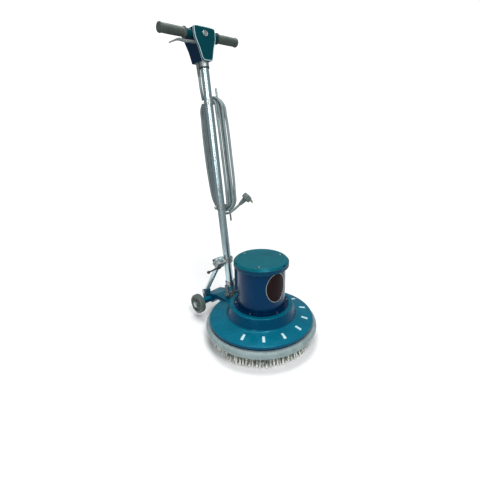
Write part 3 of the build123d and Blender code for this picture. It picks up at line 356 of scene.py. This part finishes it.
def plastic(name, base, rough=0.4, grain=900, depth=0.15, sheen=0.0, specular=0.4):
    """Moulded plastic or rubber: fine grain, and colour that varies a little."""
    material, tree, shader = principled(name, base, rough, sheen=sheen, specular=specular)
    dark, middle, light = shades(base)
    tree.links.new(ramp(tree, noise(tree, 40, 6), [(0.3, dark), (0.5, middle), (0.72, light)]),
                   shader.inputs["Base Color"])
    tree.links.new(span(tree, noise(tree, 60, 4), 0.3, 0.7, rough - 0.07, rough + 0.1), shader.inputs["Roughness"])
    bump(tree, shader, noise(tree, grain, 3), depth, 0.0003)
    return material


def metal(name, base, rough=0.3, stretch=(1, 1, 1), scale=120, depth=0.08, low=0.78, high=1.1, swing=0.08):
    """Bare metal: colour blotches from low to high, and marks that change its roughness by swing."""
    material, tree, shader = principled(name, base, rough, metallic=1.0)
    dark, middle, light = shades(base, low, high)
    tree.links.new(ramp(tree, noise(tree, 22, 6), [(0.28, dark), (0.5, middle), (0.75, light)]),
                   shader.inputs["Base Color"])
    marks = noise(tree, scale, 4, stretch)
    tree.links.new(span(tree, marks, 0.25, 0.75, rough - swing, rough + 1.6 * swing), shader.inputs["Roughness"])
    if depth:
        bump(tree, shader, marks, depth, 0.0002)
    return material


def bristle_look():
    """Nylon: darker towards the roots and in patches, as painted shade under the brush back and between tufts, and pale
    at the worn tips.
    """
    material, tree, shader = principled("nylon_bristle", (0.5, 0.52, 0.47), 0.5, specular=0.3)
    coords = tree.nodes.new("ShaderNodeTexCoord")
    parts = tree.nodes.new("ShaderNodeSeparateXYZ")
    tree.links.new(coords.outputs["Object"], parts.inputs["Vector"])
    # darker higher up the filaments: painted shade under the brush back
    tip = span(tree, parts.outputs["Z"], 0.002, 0.024, 0.6, 0.0)
    # noise patches darken some filaments: painted shade between tufts
    patch_shade = span(tree, noise(tree, 110, 2, (1, 1, 0.15)), 0.40, 0.60, 0.0, 0.65)
    both = tree.nodes.new("ShaderNodeMath")
    both.operation = "ADD"
    both.use_clamp = True
    tree.links.new(patch_shade, both.inputs[0])
    tree.links.new(tip, both.inputs[1])
    nylon_with_painted_shade = [(0.05, (0.05, 0.07, 0.06)), (0.4, (0.34, 0.38, 0.34)), (0.85, (0.86, 0.88, 0.82))]
    tree.links.new(ramp(tree, both.outputs["Value"], nylon_with_painted_shade), shader.inputs["Base Color"])
    return material


def head_look():
    """Moulded head: dark teal in front, and navy painted shade on its flanks."""
    material, tree, shader = principled("head_moulding", (0.0, 0.050, 0.062), 0.34, specular=0.35)
    shader.inputs["Specular Tint"].default_value = (0.10, 0.60, 0.75, 1)
    sideways = tree.nodes.new("ShaderNodeMath")
    sideways.operation = "ABSOLUTE"
    tree.links.new(facing(tree, "X"), sideways.inputs[0])
    # faces turned sideways take navy: painted shade on the flanks
    flank_shade = span(tree, sideways.outputs["Value"], 0.5, 0.8, 0.0, 1.0)
    grain = noise(tree, 500, 3)
    front = ramp(tree, grain, [(0.3, (0.0, 0.030, 0.040)), (0.7, (0.0, 0.041, 0.052))])
    tree.links.new(mix(tree, flank_shade, front, (0.0, 0.010, 0.036)), shader.inputs["Base Color"])
    bump(tree, shader, grain, 0.08, 0.0002)
    return material


looks = {
    # the deck and lid enamels darken their upright faces as painted shade
    "deck_paint": paint("deck_enamel", TEAL_DECK, 0.24, wear=(0.06, 0.24, 0.30), upright_shade=SHADED_TEAL),
    "cover_paint": paint("cover_enamel", NAVY, 0.20, wear=(0.02, 0.10, 0.16), gloss=NAVY_GLOSS),
    "lid_paint": paint("lid_enamel", TEAL_LID, 0.34, wear=(0.04, 0.26, 0.32), wear_radius=0.0025, upright_shade=SHADED_LID),
    "head_plastic": head_look(),
    # pale trim: a real bead, whose pale colour is partly its own and partly a painted highlight along the head's front
    # edge
    "trim_plastic": plastic("trim_moulding_painted_highlight", (0.30, 0.42, 0.45), 0.45),
    "grey_rubber": plastic("bumper_rubber", (0.200, 0.262, 0.265), 0.38, 500, 0.12, specular=0.35),
    "grip_rubber": plastic("grip_rubber", (0.040, 0.056, 0.050), 0.5, 800, 0.3, 0.1, specular=0.3),
    "wheel_rubber": plastic("wheel_rubber", (0.070, 0.095, 0.088), 0.55, 600, 0.3, 0.1, specular=0.3),
    "bristle": bristle_look(),
    "block_plastic": plastic("brush_back", (0.30, 0.31, 0.28), 0.55),
    "blank_emblem": plastic("blank_plate", (0.010, 0.003, 0.004), 0.35, 300, 0.04, specular=0.08),
    "mark_paint": plastic("mark_paint", (0.42, 0.60, 0.64), 0.5),
    "zinc_steel": metal("zinc_plate", (0.38, 0.43, 0.43), 0.34, scale=260),
    "tube_chrome": metal("worn_chrome", (0.50, 0.64, 0.67), 0.27, (1, 1, 0.04), 60, 0.0, 0.90, 1.08, swing=0.03),
    "cast_silver": metal("cast_alloy", (0.36, 0.40, 0.40), 0.46, scale=420, depth=0.25),
    "gear_steel": metal("oiled_steel", (0.42, 0.42, 0.43), 0.3),
    "electrical_steel": metal("laminations", (0.15, 0.15, 0.16), 0.5, (1, 1, 30), 60, 0.3),
    "copper": metal("enamelled_copper", (0.62, 0.28, 0.13), 0.35, (1, 1, 20), 80, 0.3),
    "black_plastic": plastic("black_moulding", (0.018, 0.018, 0.02), 0.4),
    "cord_jacket": plastic("cord_sheath", (0.175, 0.225, 0.232), 0.40, 1200, 0.06),
    "plug_plastic": plastic("plug_moulding", (0.105, 0.135, 0.130), 0.48),
    "plug_brass": metal("plated_brass", (0.66, 0.60, 0.42), 0.25),
}
for entry in frame["record"]["subparts"]:
    target = nodes[entry["node"]]
    if not target.material_slots:
        target.data.materials.append(None)
    for holder in target.material_slots:
        holder.material = looks[entry["material_slot"]]


def dress(obj, slot_name, body, *stands_for):
    """Gives a new piece its finish, the body it rides on, and the CAD nodes that it stands for."""
    obj.data.materials.append(looks[slot_name])
    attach(obj, body)
    if stands_for:
        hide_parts(*stands_for)
    return obj


# ---- the cord --------------------------------------------------------------------------------------
CORD_DIAMETER = 0.0105
UPPER, LOWER = 788, 375  # the levels of the two hooks' rods
ENTRY_ACROSS, ENTRY_BACK = -13, 22  # where the cord enters the head
HEAD_BOTTOM, GRIP_LEVEL = 934, 1027
cord_exit = at(ENTRY_ACROSS, ENTRY_BACK, HEAD_BOTTOM - 50)
TAIL_DIR = (LOOPS * 0.67 + HOOKS * 0.38 + TUBE * 0.64).normalized()
plug_start = hank_point(34, 34, LOWER - 23) + TAIL_DIR * 42 * mm

# one row per turn: left side, left reach, right side, right reach, and how far its folds sit past the hooks' rods
TURNS = [
    (-45, 27, 12, 27, 10),
    (-46, 38, 16, 38, 10),
    (-46, 48, 19, 48, 10),
    (-56, 32, 38, 32, 20.5),
    (-57, 43, 42, 43, 20.5),
]
LAST_TURN = (-66, 28)
FOLD_ANGLES = (14, 52, 90, 128, 166)
DOWNWARD = ((700, -1), (640, -2), (560, -2), (490, 0))  # a left side's levels, and how far it leans out at each
UPWARD = ((480, 5), (560, 4), (640, 4), (700, 3))  # the same for a right side
LAST_DOWNWARD = ((700, 0), (640, -2), (560, -2), (480, 1))


def fold(side, reach, next_side, next_reach, hook, past, way):
    """The points of a turn's round end, from one side to the other, over a hook's rod or under it."""
    middle, half = (side + next_side) / 2, abs(next_side - side) / 2
    level = hook + way * (past - math.sqrt(half ** 2 - middle ** 2))
    points = [hank_point(side + (side - middle) * 0.02, reach, level - way * 0.43 * half)]
    for k, degrees in enumerate(FOLD_ANGLES):
        a = math.radians(degrees)
        points.append(hank_point(middle + (side - middle) * 1.05 * math.cos(a),
                                 reach + (next_reach - reach) * k / (len(FOLD_ANGLES) - 1),
                                 level + way * 1.05 * half * math.sin(a)))
    points.append(hank_point(next_side + (next_side - middle) * 0.02, next_reach, level - way * 0.43 * half))
    return points


route = [cord_exit, at(ENTRY_ACROSS, ENTRY_BACK, 866), hank_point(-26, -5, 842), hank_point(-31, 5, 815),
         hank_point(-38, 17, 785), hank_point(-43, 25, 752)]
for number, (left, left_reach, right, reach, past) in enumerate(TURNS):
    sway = 2.2 * math.sin(1.7 * number)
    for height, lean_out in DOWNWARD:
        route.append(hank_point(left + lean_out + sway * 0.3, left_reach + 0.6 * sway * (height - 600) / 120, height))
    route += fold(left + 5, left_reach, right + 2, reach, LOWER, past, -1)
    for height, lean_out in UPWARD:
        route.append(hank_point(right + lean_out + sway, reach + 0.5 * sway, height))
    following = TURNS[number + 1] if number + 1 < len(TURNS) else LAST_TURN
    route += fold(right, reach, following[0] + 3, following[1], UPPER, past, 1)
left, left_reach = LAST_TURN
for height, lean_out in LAST_DOWNWARD:
    route.append(hank_point(left + lean_out, left_reach, height))
route += [hank_point(-62, 31, LOWER + 34), hank_point(-50, 34, LOWER - 2), hank_point(-28, 36, LOWER - 28),
          hank_point(2, 36, LOWER - 38), plug_start - TAIL_DIR * 28 * mm, plug_start]
mains_cord = nurbs_object("mains_cord", route, CORD_DIAMETER)
dress(mains_cord, "cord_jacket", "handle", "cord_runs", "cord_hank")

# ---- plug: a sleeve with grip rings, and a rounded head; its pins are CAD ---------------------------
PLUG_SLEEVE, PLUG_HEAD = 26, 24
pin_hint = LOOPS * 0.2 + HOOKS * 0.62 - TUBE * 0.74
PIN_DIR = (pin_hint - TAIL_DIR * pin_hint.dot(TAIL_DIR)).normalized()
sleeve_profile = [(0.0, -0.004), (0.0058, -0.004)]
for ring in range(6):
    base = -0.002 + ring * 0.0045
    wide = 0.0066 + ring * 0.0007
    sleeve_profile += [(wide, base), (wide + 0.0009, base + 0.0008), (wide + 0.0009, base + 0.0026),
                       (wide, base + 0.0034)]
sleeve_profile += [(0.0112, 0.027), (0.0112, 0.031), (0.0, 0.031)]
plug_sleeve = lathe("plug_sleeve", sleeve_profile, matrix_for(plug_start, TAIL_DIR, PIN_DIR), 32)
dress(plug_sleeve, "plug_plastic", "handle")

bm = bmesh.new()
plug_place = matrix_for(plug_start + TAIL_DIR * (PLUG_SLEEVE + PLUG_HEAD / 2) * mm, PIN_DIR, TAIL_DIR)
# (height, scale) of the head's sections, with a groove between 4 and 7.5
levels = [(-14.0, 0.80), (-13.0, 0.90), (-11.0, 0.97), (-8.0, 1.0), (4.0, 1.0), (5.0, 0.93), (6.5, 0.93), (7.5, 1.0),
          (13.0, 1.0), (14.0, 0.96)]
SQUARENESS = 0.45  # the power that squares a circle: 1 is round
rings = []
for height, scale in levels:
    section = [Vector((12 * math.copysign(abs(p.x) ** SQUARENESS, p.x) * scale,
                       18 * math.copysign(abs(p.y) ** SQUARENESS, p.y) * scale, height)) * mm
               for p in circle(1, 0, 40)]
    rings.append(ring_of(bm, plug_place, section))
for low, high in zip(rings, rings[1:]):
    join_rings(bm, low, high)
bm.faces.new(list(reversed(rings[0])))
bm.faces.new(rings[-1])
plug_head = mesh_object("plug_head", bm, 40)
dress(plug_head, "plug_plastic", "handle", "plug_body")

# ---- strain relief: a tapered sleeve with slots, at the head's lower end ------------------------------
relief = [(0.0, -0.004), (0.0076, -0.004), (0.0076, 0.004)]
for ring in range(9):
    base, wide = 0.0055 + ring * 0.0048, 0.0074 - ring * 0.00014
    relief += [(wide - 0.0012, base), (wide - 0.0012, base + 0.0014), (wide, base + 0.0018), (wide, base + 0.0042)]
relief += [(0.0059, 0.0495), (0.0055, 0.0500), (0.0, 0.0500)]
strain_relief = lathe("strain_relief_sleeve", relief, matrix_for(at(ENTRY_ACROSS, ENTRY_BACK, HEAD_BOTTOM), -TUBE), 32)
dress(strain_relief, "plug_plastic", "handle", "strain_relief")

# ---- brush: rows of splayed tufts ---------------------------------------------------------------------
BRISTLE_TOP = 0.0342
TUFT_PITCH, TUFT_RADIUS, FILAMENT_RADIUS = 0.0118, 0.0020, 0.00065
BRUSH_REACH, TIP_FLOOR = 0.1965, 0.0002  # no tip passes these
ROWS = [0.074 + 0.0109 * k for k in range(11)]
bm = bmesh.new()


def filament(root, tip, thick):
    """A tapered four-sided filament that bows a little between its ends."""
    middle = (root + tip) / 2 + Vector((root.x, root.y, 0)).normalized() * rng.uniform(-0.0006, 0.0012)
    last = None
    for centre, radius in ((root, thick), (middle, thick), (tip, thick * 0.75)):
        ring = ring_of(bm, Matrix.Translation(centre), circle(radius, 0, 4))
        if last:
            join_rings(bm, last, ring)
        else:
            bm.faces.new(ring)
        last = ring
    bm.faces.new(list(reversed(last)))


for number, radius in enumerate(ROWS):
    outer = number >= len(ROWS) - 2
    count = int(2 * math.pi * radius / TUFT_PITCH)
    for k in range(count):
        angle = 2 * math.pi * (k + 0.5 * (number % 2)) / count + rng.uniform(-0.16, 0.16) / count
        out = Vector((math.cos(angle), math.sin(angle), 0))
        side = Vector((-out.y, out.x, 0))
        lean = 0.0100 * (radius / ROWS[-1]) ** 3 * (rng.uniform(0.35, 1.25) if outer else 0.4)
        sway = rng.uniform(-0.0026, 0.0026)
        short = rng.random() ** 2 * (0.0065 if outer else 0.003)
        for _ in range(14 if outer else 7):
            r, t = TUFT_RADIUS * math.sqrt(rng.random()), rng.uniform(0, 2 * math.pi)
            root = out * (radius + r * math.cos(t)) + side * (r * math.sin(t)) + Vector((0, 0, BRISTLE_TOP))
            reach = radius + lean + 1.5 * r * math.cos(t) + rng.uniform(-0.0010, 0.0010)
            tip = out * min(reach, BRUSH_REACH) + side * (sway + 1.6 * r * math.sin(t) + rng.uniform(-0.0007, 0.0007))
            tip.z = TIP_FLOOR + short + (rng.random() ** 3) * 0.002
            filament(root, tip, FILAMENT_RADIUS)
bristles = mesh_object("bristle_tufts", bm, 60)
dress(bristles, "bristle", "brush", "brush_bristles")

# ---- bumper: a soft ring with a rolled edge and a shadow groove -----------------------------------------
box_low, box_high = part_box("bumper_ring")
OUTER = box_high.x
low_z, high_z = box_low.z, box_high.z
INNER = 0.1981
bumper_outline = [(INNER, low_z + 0.001), (INNER, high_z - 0.001), (INNER + 0.0012, high_z), (OUTER - 0.0085, high_z),
                  (OUTER - 0.002, high_z - 0.0045), (OUTER, high_z - 0.012), (OUTER - 0.0004, low_z + 0.0125),
                  (OUTER - 0.0022, low_z + 0.0105), (OUTER - 0.0028, low_z + 0.0075), (OUTER - 0.009, low_z + 0.0005),
                  (INNER + 0.002, low_z), (INNER, low_z + 0.001)]
bumper_profile = rounded(bumper_outline, 0.0045)[:-1]
bumper = lathe("bumper_moulding", bumper_profile, Matrix.Identity(4), 160, closed=True, sharp_deg=50)
dress(bumper, "grey_rubber", "base", "bumper_ring")

# ---- grips: ribbed sleeves with a guard flange and a domed end -------------------------------------------
GRIP_START, GRIP_END, GRIP_RIBS = 72, 175, 17
for name, sign in (("grip_right", -1), ("grip_left", 1)):
    length = (GRIP_END - GRIP_START) * mm
    profile = [(0.0127, 0.0), (0.0195, 0.0), (0.0208, 0.0010), (0.0208, 0.0032), (0.0195, 0.0042), (0.0172, 0.0056)]
    for rib in range(GRIP_RIBS):
        base = 0.0090 + rib * 0.0049
        swell = 0.0005 * math.sin(math.pi * rib / (GRIP_RIBS - 1))
        profile += [(0.0159 + swell, base), (0.01655 + swell, base + 0.0009), (0.01655 + swell, base + 0.0031),
                    (0.0159 + swell, base + 0.0040)]
    profile += [(0.0170, length - 0.0095), (0.0183, length - 0.0075), (0.0185, length - 0.0040),
                (0.0172, length - 0.0012), (0.0140, length), (0.0060, length), (0.0, length - 0.0004)]
    grip = lathe(name, profile, matrix_for(at(sign * GRIP_START, 0, GRIP_LEVEL), RIGHT_X * sign), 48, sharp_deg=50)
    dress(grip, "grip_rubber", "handle", *(("hand_grips",) if sign < 0 else ()))

# ---- wheels: a ribbed tyre, and a hub whose web has six holes -----------------------------------------------
HUB_BORE, HUB_RADIUS, HALF_WEB, HOLE_RADIUS = 0.00806, 0.0165, 0.0055, 0.0042
HUB_STEPS, HOLE_EVERY, HOLE_START, HOLE_STEPS = 72, 12, 4, 4
WEB = 3  # the ring in a hub's face where its web starts
open_steps = [k for k in range(HUB_STEPS) if HOLE_START <= k % HOLE_EVERY < HOLE_START + HOLE_STEPS]
for name, body, node in (("right", "right_wheel", "wheel_right"), ("left", "left_wheel", "wheel_left")):
    low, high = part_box(node)
    centre = (low + high) / 2
    width, radius = high.x - low.x, (high.z - low.z) / 2
    place = matrix_for((low.x, centre.y, centre.z), (1, 0, 0))
    tyre = [(radius - 0.0105, 0.0012), (radius - 0.0045, 0.0), (radius - 0.0016, 0.0013), (radius, 0.0045)]
    for rib in range(3):
        base = 0.0068 + rib * 0.0042
        tyre += [(radius, base), (radius - 0.0008, base + 0.0004), (radius - 0.0008, base + 0.0014),
                 (radius, base + 0.0018)]
    tyre += [(radius, width - 0.0045), (radius - 0.0016, width - 0.0013), (radius - 0.0045, width),
             (radius - 0.0105, width - 0.0012)]
    dress(lathe(f"tyre_{name}", tyre, place, 72, closed=True, sharp_deg=45), "wheel_rubber", body)

    bm = bmesh.new()
    rim, middle = radius - 0.0104, width / 2
    # a face of the hub, from bore to rim: (radius, distance from the wheel's middle)
    face = [(HUB_BORE, middle - 0.0002), (HUB_RADIUS - 0.001, middle - 0.0002), (HUB_RADIUS, middle - 0.0014),
            (HUB_RADIUS + 0.0006, HALF_WEB), (rim - 0.0014, HALF_WEB), (rim - 0.0006, middle - 0.0022),
            (rim + 0.0003, middle - 0.0016)]
    faces = [[ring_of(bm, place, circle(r, middle + side * away, HUB_STEPS)) for r, away in face] for side in (-1, 1)]
    for rings in faces:
        for number, (inner, outer) in enumerate(zip(rings, rings[1:])):
            join_rings(bm, inner, outer, left_out=open_steps if number == WEB else ())
    for end in (0, -1):
        join_rings(bm, faces[0][end], faces[1][end])
    hole_circle = (HUB_RADIUS + rim) / 2 + 0.0005
    for first in range(HOLE_START, HUB_STEPS, HOLE_EVERY):
        angle = 2 * math.pi * (first + HOLE_STEPS / 2) / HUB_STEPS
        edges = []
        for side, rings in zip((-1, 1), faces):
            steps = range(first, first + HOLE_STEPS + 1)
            border = [rings[WEB][k] for k in steps] + [rings[WEB + 1][k] for k in reversed(steps)]
            hole = place @ Vector((hole_circle * math.cos(angle), hole_circle * math.sin(angle),
                                   middle + side * HALF_WEB))
            edge = [bm.verts.new(hole + (vert.co - hole).normalized() * HOLE_RADIUS) for vert in border]
            join_rings(bm, border, edge)
            edges.append(edge)
        join_rings(bm, *edges)
    dress(mesh_object(f"wheel_hub_{name}", bm, 40), "wheel_rubber", body, node)

# ---- cover: the oval plate's silver outline ------------------------------------------------------------------
EMBLEM_TURN = math.radians(-9)
EMBLEM_HALF_WIDTH, EMBLEM_HALF_HEIGHT = 42, 58
COVER_RADIUS = 0.092
OUTLINE_STEPS = 96
emblem_low, emblem_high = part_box("cover_emblem")
emblem_z = (emblem_low.z + emblem_high.z) / 2
bm = bmesh.new()
rings = []
for k in range(OUTLINE_STEPS):
    t = 2 * math.pi * k / OUTLINE_STEPS
    ring = []
    for grow, lift in ((-2.4, 1.1), (-2.2, 1.6), (-0.8, 1.6), (-0.6, 1.1)):
        across = (EMBLEM_HALF_WIDTH + grow) * math.cos(t) * mm
        up = (EMBLEM_HALF_HEIGHT + grow) * math.sin(t) * mm
        angle = EMBLEM_TURN + math.asin(across / COVER_RADIUS)
        r = COVER_RADIUS + lift * mm
        ring.append(bm.verts.new((r * math.sin(angle), -r * math.cos(angle), emblem_z + up)))
    rings.append(ring)
for k, ring in enumerate(rings):
    join_rings(bm, rings[k - 1], ring)
dress(mesh_object("emblem_outline", bm, 30), "zinc_steel", "base")


# ---- lid: its three screws, and a shallow pressed ring round its flat top -------------------------------------
def pan_heads(name, places, radius, height, body):
    """Domed screw heads with a cross on top, each at (point, direction, turn)."""
    bm = bmesh.new()
    dome = [(0.0, -0.0002), (radius, -0.0002), (radius, height * 0.3), (radius * 0.85, height * 0.75),
            (radius * 0.55, height), (radius * 0.5, height * 0.96), (0.0, height * 0.9)]
    for point, direction, spin in places:
        place = matrix_for(point, direction) @ Matrix.Rotation(spin, 4, "Z")
        lathe_into(bm, dome, place, 24)
        for arm in range(2):
            cross = place @ Matrix.Rotation(arm * math.pi / 2, 4, "Z")
            verts = ring_of(bm, cross, [Vector((x * radius * 0.62, y * radius * 0.11, z)) for x in (-1, 1)
                                        for y in (-1, 1) for z in (height * 0.93, height * 1.05)])
            for face in ((0, 1, 3, 2), (4, 6, 7, 5), (0, 4, 5, 1), (2, 3, 7, 6), (0, 2, 6, 4), (1, 5, 7, 3)):
                bm.faces.new([verts[i] for i in face])
    return dress(mesh_object(name, bm, 40), "zinc_steel", body)


LID_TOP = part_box("motor_lid")[1].z
LID_SCREW_CIRCLE, LID_SCREW_START = 0.080, -22
lid_screws = []
for k in range(3):
    a = math.radians(LID_SCREW_START + 120 * k)
    point = (LID_SCREW_CIRCLE * math.cos(a), LID_SCREW_CIRCLE * math.sin(a), LID_TOP + 0.002)
    lid_screws.append((point, (0, 0, 1), 0.4 * k))
pan_heads("lid_screw_heads", lid_screws, 0.0038, 0.0012, "base")
lid_ring = [(0.0870, LID_TOP - 0.0002), (0.0874, LID_TOP + 0.0007), (0.0890, LID_TOP + 0.0011),
            (0.0906, LID_TOP + 0.0007), (0.0910, LID_TOP - 0.0002)]
dress(lathe("lid_ring", lid_ring, Matrix.Identity(4), 128, closed=True, sharp_deg=60), "lid_paint", "base")

# ---- head: the screws in its rear face, the badge's raised rim, and the bead round its front, pale as a painted highlight ---
HEAD_FRONT, HEAD_REAR = -28, 50
FRONT_DIR = -REAR
head_screws = [(at(x, HEAD_REAR, h), REAR, spin) for x, h, spin in
               ((-35, 1036, 0.3), (35, 1036, 1.1), (-15, 950, 0.7), (15, 950, 1.3))]
pan_heads("head_screw_heads", head_screws, 0.0036, 0.0018, "handle")
badge_place = matrix_for(at(0, HEAD_FRONT - 1.5, GRIP_LEVEL), FRONT_DIR)
badge_rim = [(0.0088, -0.0004), (0.0088, 0.0008), (0.0098, 0.0012), (0.0110, 0.0008), (0.0110, -0.0004)]
dress(lathe("badge_rim", rounded(badge_rim, 0.0004, 2), badge_place, 48, closed=True), "zinc_steel", "handle")

HEAD_HALF_WIDTHS = ((HEAD_BOTTOM, 21), (975, 31), (1010, 45), (1049, 47))  # (level, half width)
CORNER = 5
outline = [(-x, h) for h, x in HEAD_HALF_WIDTHS] + [(x, h) for h, x in reversed(HEAD_HALF_WIDTHS)]
piping_points = []
for k, (x, h) in enumerate(outline):
    here = Vector((x, h))
    for near in (Vector(outline[k - 1]), Vector(outline[(k + 1) % len(outline)])):
        piping_points.append(here + (near - here).normalized() * CORNER)
piping_points = [at(where.x, HEAD_FRONT + 1.4, where.y) for where in piping_points]
# the bead round the head's front is pale as a painted highlight on that edge
piping = nurbs_object("head_piping", piping_points, 0.0038, closed=True, resolution=8, bevel_resolution=4)
dress(piping, "trim_plastic", "handle")

# ---- the dark ring under the head's bright collar ---------------------------------------------------------
COLLAR_RING_LEVEL = 909.5
ring_place = matrix_for(at(0, 0, COLLAR_RING_LEVEL), TUBE)
collar_ring = [(0.0160, 0.0), (0.0180, 0.0), (0.0188, 0.0012), (0.0188, 0.0042), (0.0180, 0.0054), (0.0160, 0.0054)]
dress(lathe("collar_ring", rounded(collar_ring, 0.0008, 3), ring_place, 48, closed=True), "black_plastic", "handle")

# ---- trigger: four small studs on the lever's front --------------------------------------------------------
TRIGGER_LEVEL, TRIGGER_FRONT = 996, -14
stud = [(0.0, -0.0005), (0.0021, -0.0005), (0.0021, 0.0004), (0.0014, 0.0010), (0.0, 0.0012)]
bm = bmesh.new()
for x, rise in ((-74, -1.0), (-86, -0.8), (-98, -0.1), (-110, -0.8)):
    lathe_into(bm, stud, matrix_for(at(x, TRIGGER_FRONT, TRIGGER_LEVEL + rise), FRONT_DIR), 20)
dress(mesh_object("trigger_studs", bm, 50), "zinc_steel", "trigger")

# ---- floor and light -------------------------------------------------------------------------------------------------
bpy.ops.mesh.primitive_plane_add(size=14, location=(0, 0, -0.0005))
floor = bpy.context.object
floor.name = "floor"
floor_material, floor_tree, floor_shader = principled("pale_floor", (0.86, 0.87, 0.87), 0.8, specular=0.0)
floor_tree.links.new(ramp(floor_tree, noise(floor_tree, 3, 3), [(0.3, (0.84, 0.85, 0.85)), (0.7, (0.88, 0.88, 0.88))]),
                     floor_shader.inputs["Base Color"])
# the floor fades into the backdrop between these distances, so no horizon shows
FADE_START, FADE_END = 0.55, 1.5
floor_coords = floor_tree.nodes.new("ShaderNodeTexCoord")
distance = floor_tree.nodes.new("ShaderNodeVectorMath")
distance.operation = "LENGTH"
floor_tree.links.new(floor_coords.outputs["Object"], distance.inputs[0])
clear = floor_tree.nodes.new("ShaderNodeBsdfTransparent")
fade = floor_tree.nodes.new("ShaderNodeMixShader")
floor_tree.links.new(span(floor_tree, distance.outputs["Value"], FADE_START, FADE_END, 0.0, 1.0), fade.inputs["Fac"])
floor_tree.links.new(floor_shader.outputs["BSDF"], fade.inputs[1])
floor_tree.links.new(clear.outputs["BSDF"], fade.inputs[2])
floor_tree.links.new(fade.outputs["Shader"], floor_tree.nodes["Material Output"].inputs["Surface"])
floor.data.materials.append(floor_material)


def area_light(name, location, target, size, watts):
    light = bpy.data.lights.new(name, "AREA")
    light.shape = "RECTANGLE"
    light.size, light.size_y = size
    light.energy = watts
    holder = link(bpy.data.objects.new(name, light))
    holder.location = location
    aim(holder, target)


area_light("key", (-0.7, -1.5, 2.5), (0, 0, 0.4), (0.8, 0.8), 40)
area_light("strip", (-1.0, -2.0, 1.45), (0, 0.2, 0.8), (0.35, 1.1), 9)
area_light("window", (-2.2, -0.9, 1.2), (0, 0, 0.25), (0.3, 1.2), 15)
area_light("top", (0.2, 0.4, 2.9), (0, 0, 0.3), (1.4, 1.4), 56)
world = bpy.data.worlds.new("studio")
world.use_nodes = True
sky = world.node_tree
sky.nodes["Background"].inputs["Color"].default_value = (0.93, 0.97, 1.0, 1)
sky.nodes["Background"].inputs["Strength"].default_value = 0.30
# the room lights the object softly, but the backdrop behind it is plain white
backdrop = sky.nodes.new("ShaderNodeBackground")
backdrop.inputs["Color"].default_value = (1, 1, 1, 1)
backdrop.inputs["Strength"].default_value = 1.15
ray = sky.nodes.new("ShaderNodeLightPath")
choose = sky.nodes.new("ShaderNodeMixShader")
sky.links.new(ray.outputs["Is Camera Ray"], choose.inputs["Fac"])
sky.links.new(sky.nodes["Background"].outputs["Background"], choose.inputs[1])
sky.links.new(backdrop.outputs["Background"], choose.inputs[2])
sky.links.new(choose.outputs["Shader"], sky.nodes["World Output"].inputs["Surface"])
bpy.context.scene.world = world
bpy.context.scene.view_settings.view_transform = "Standard"
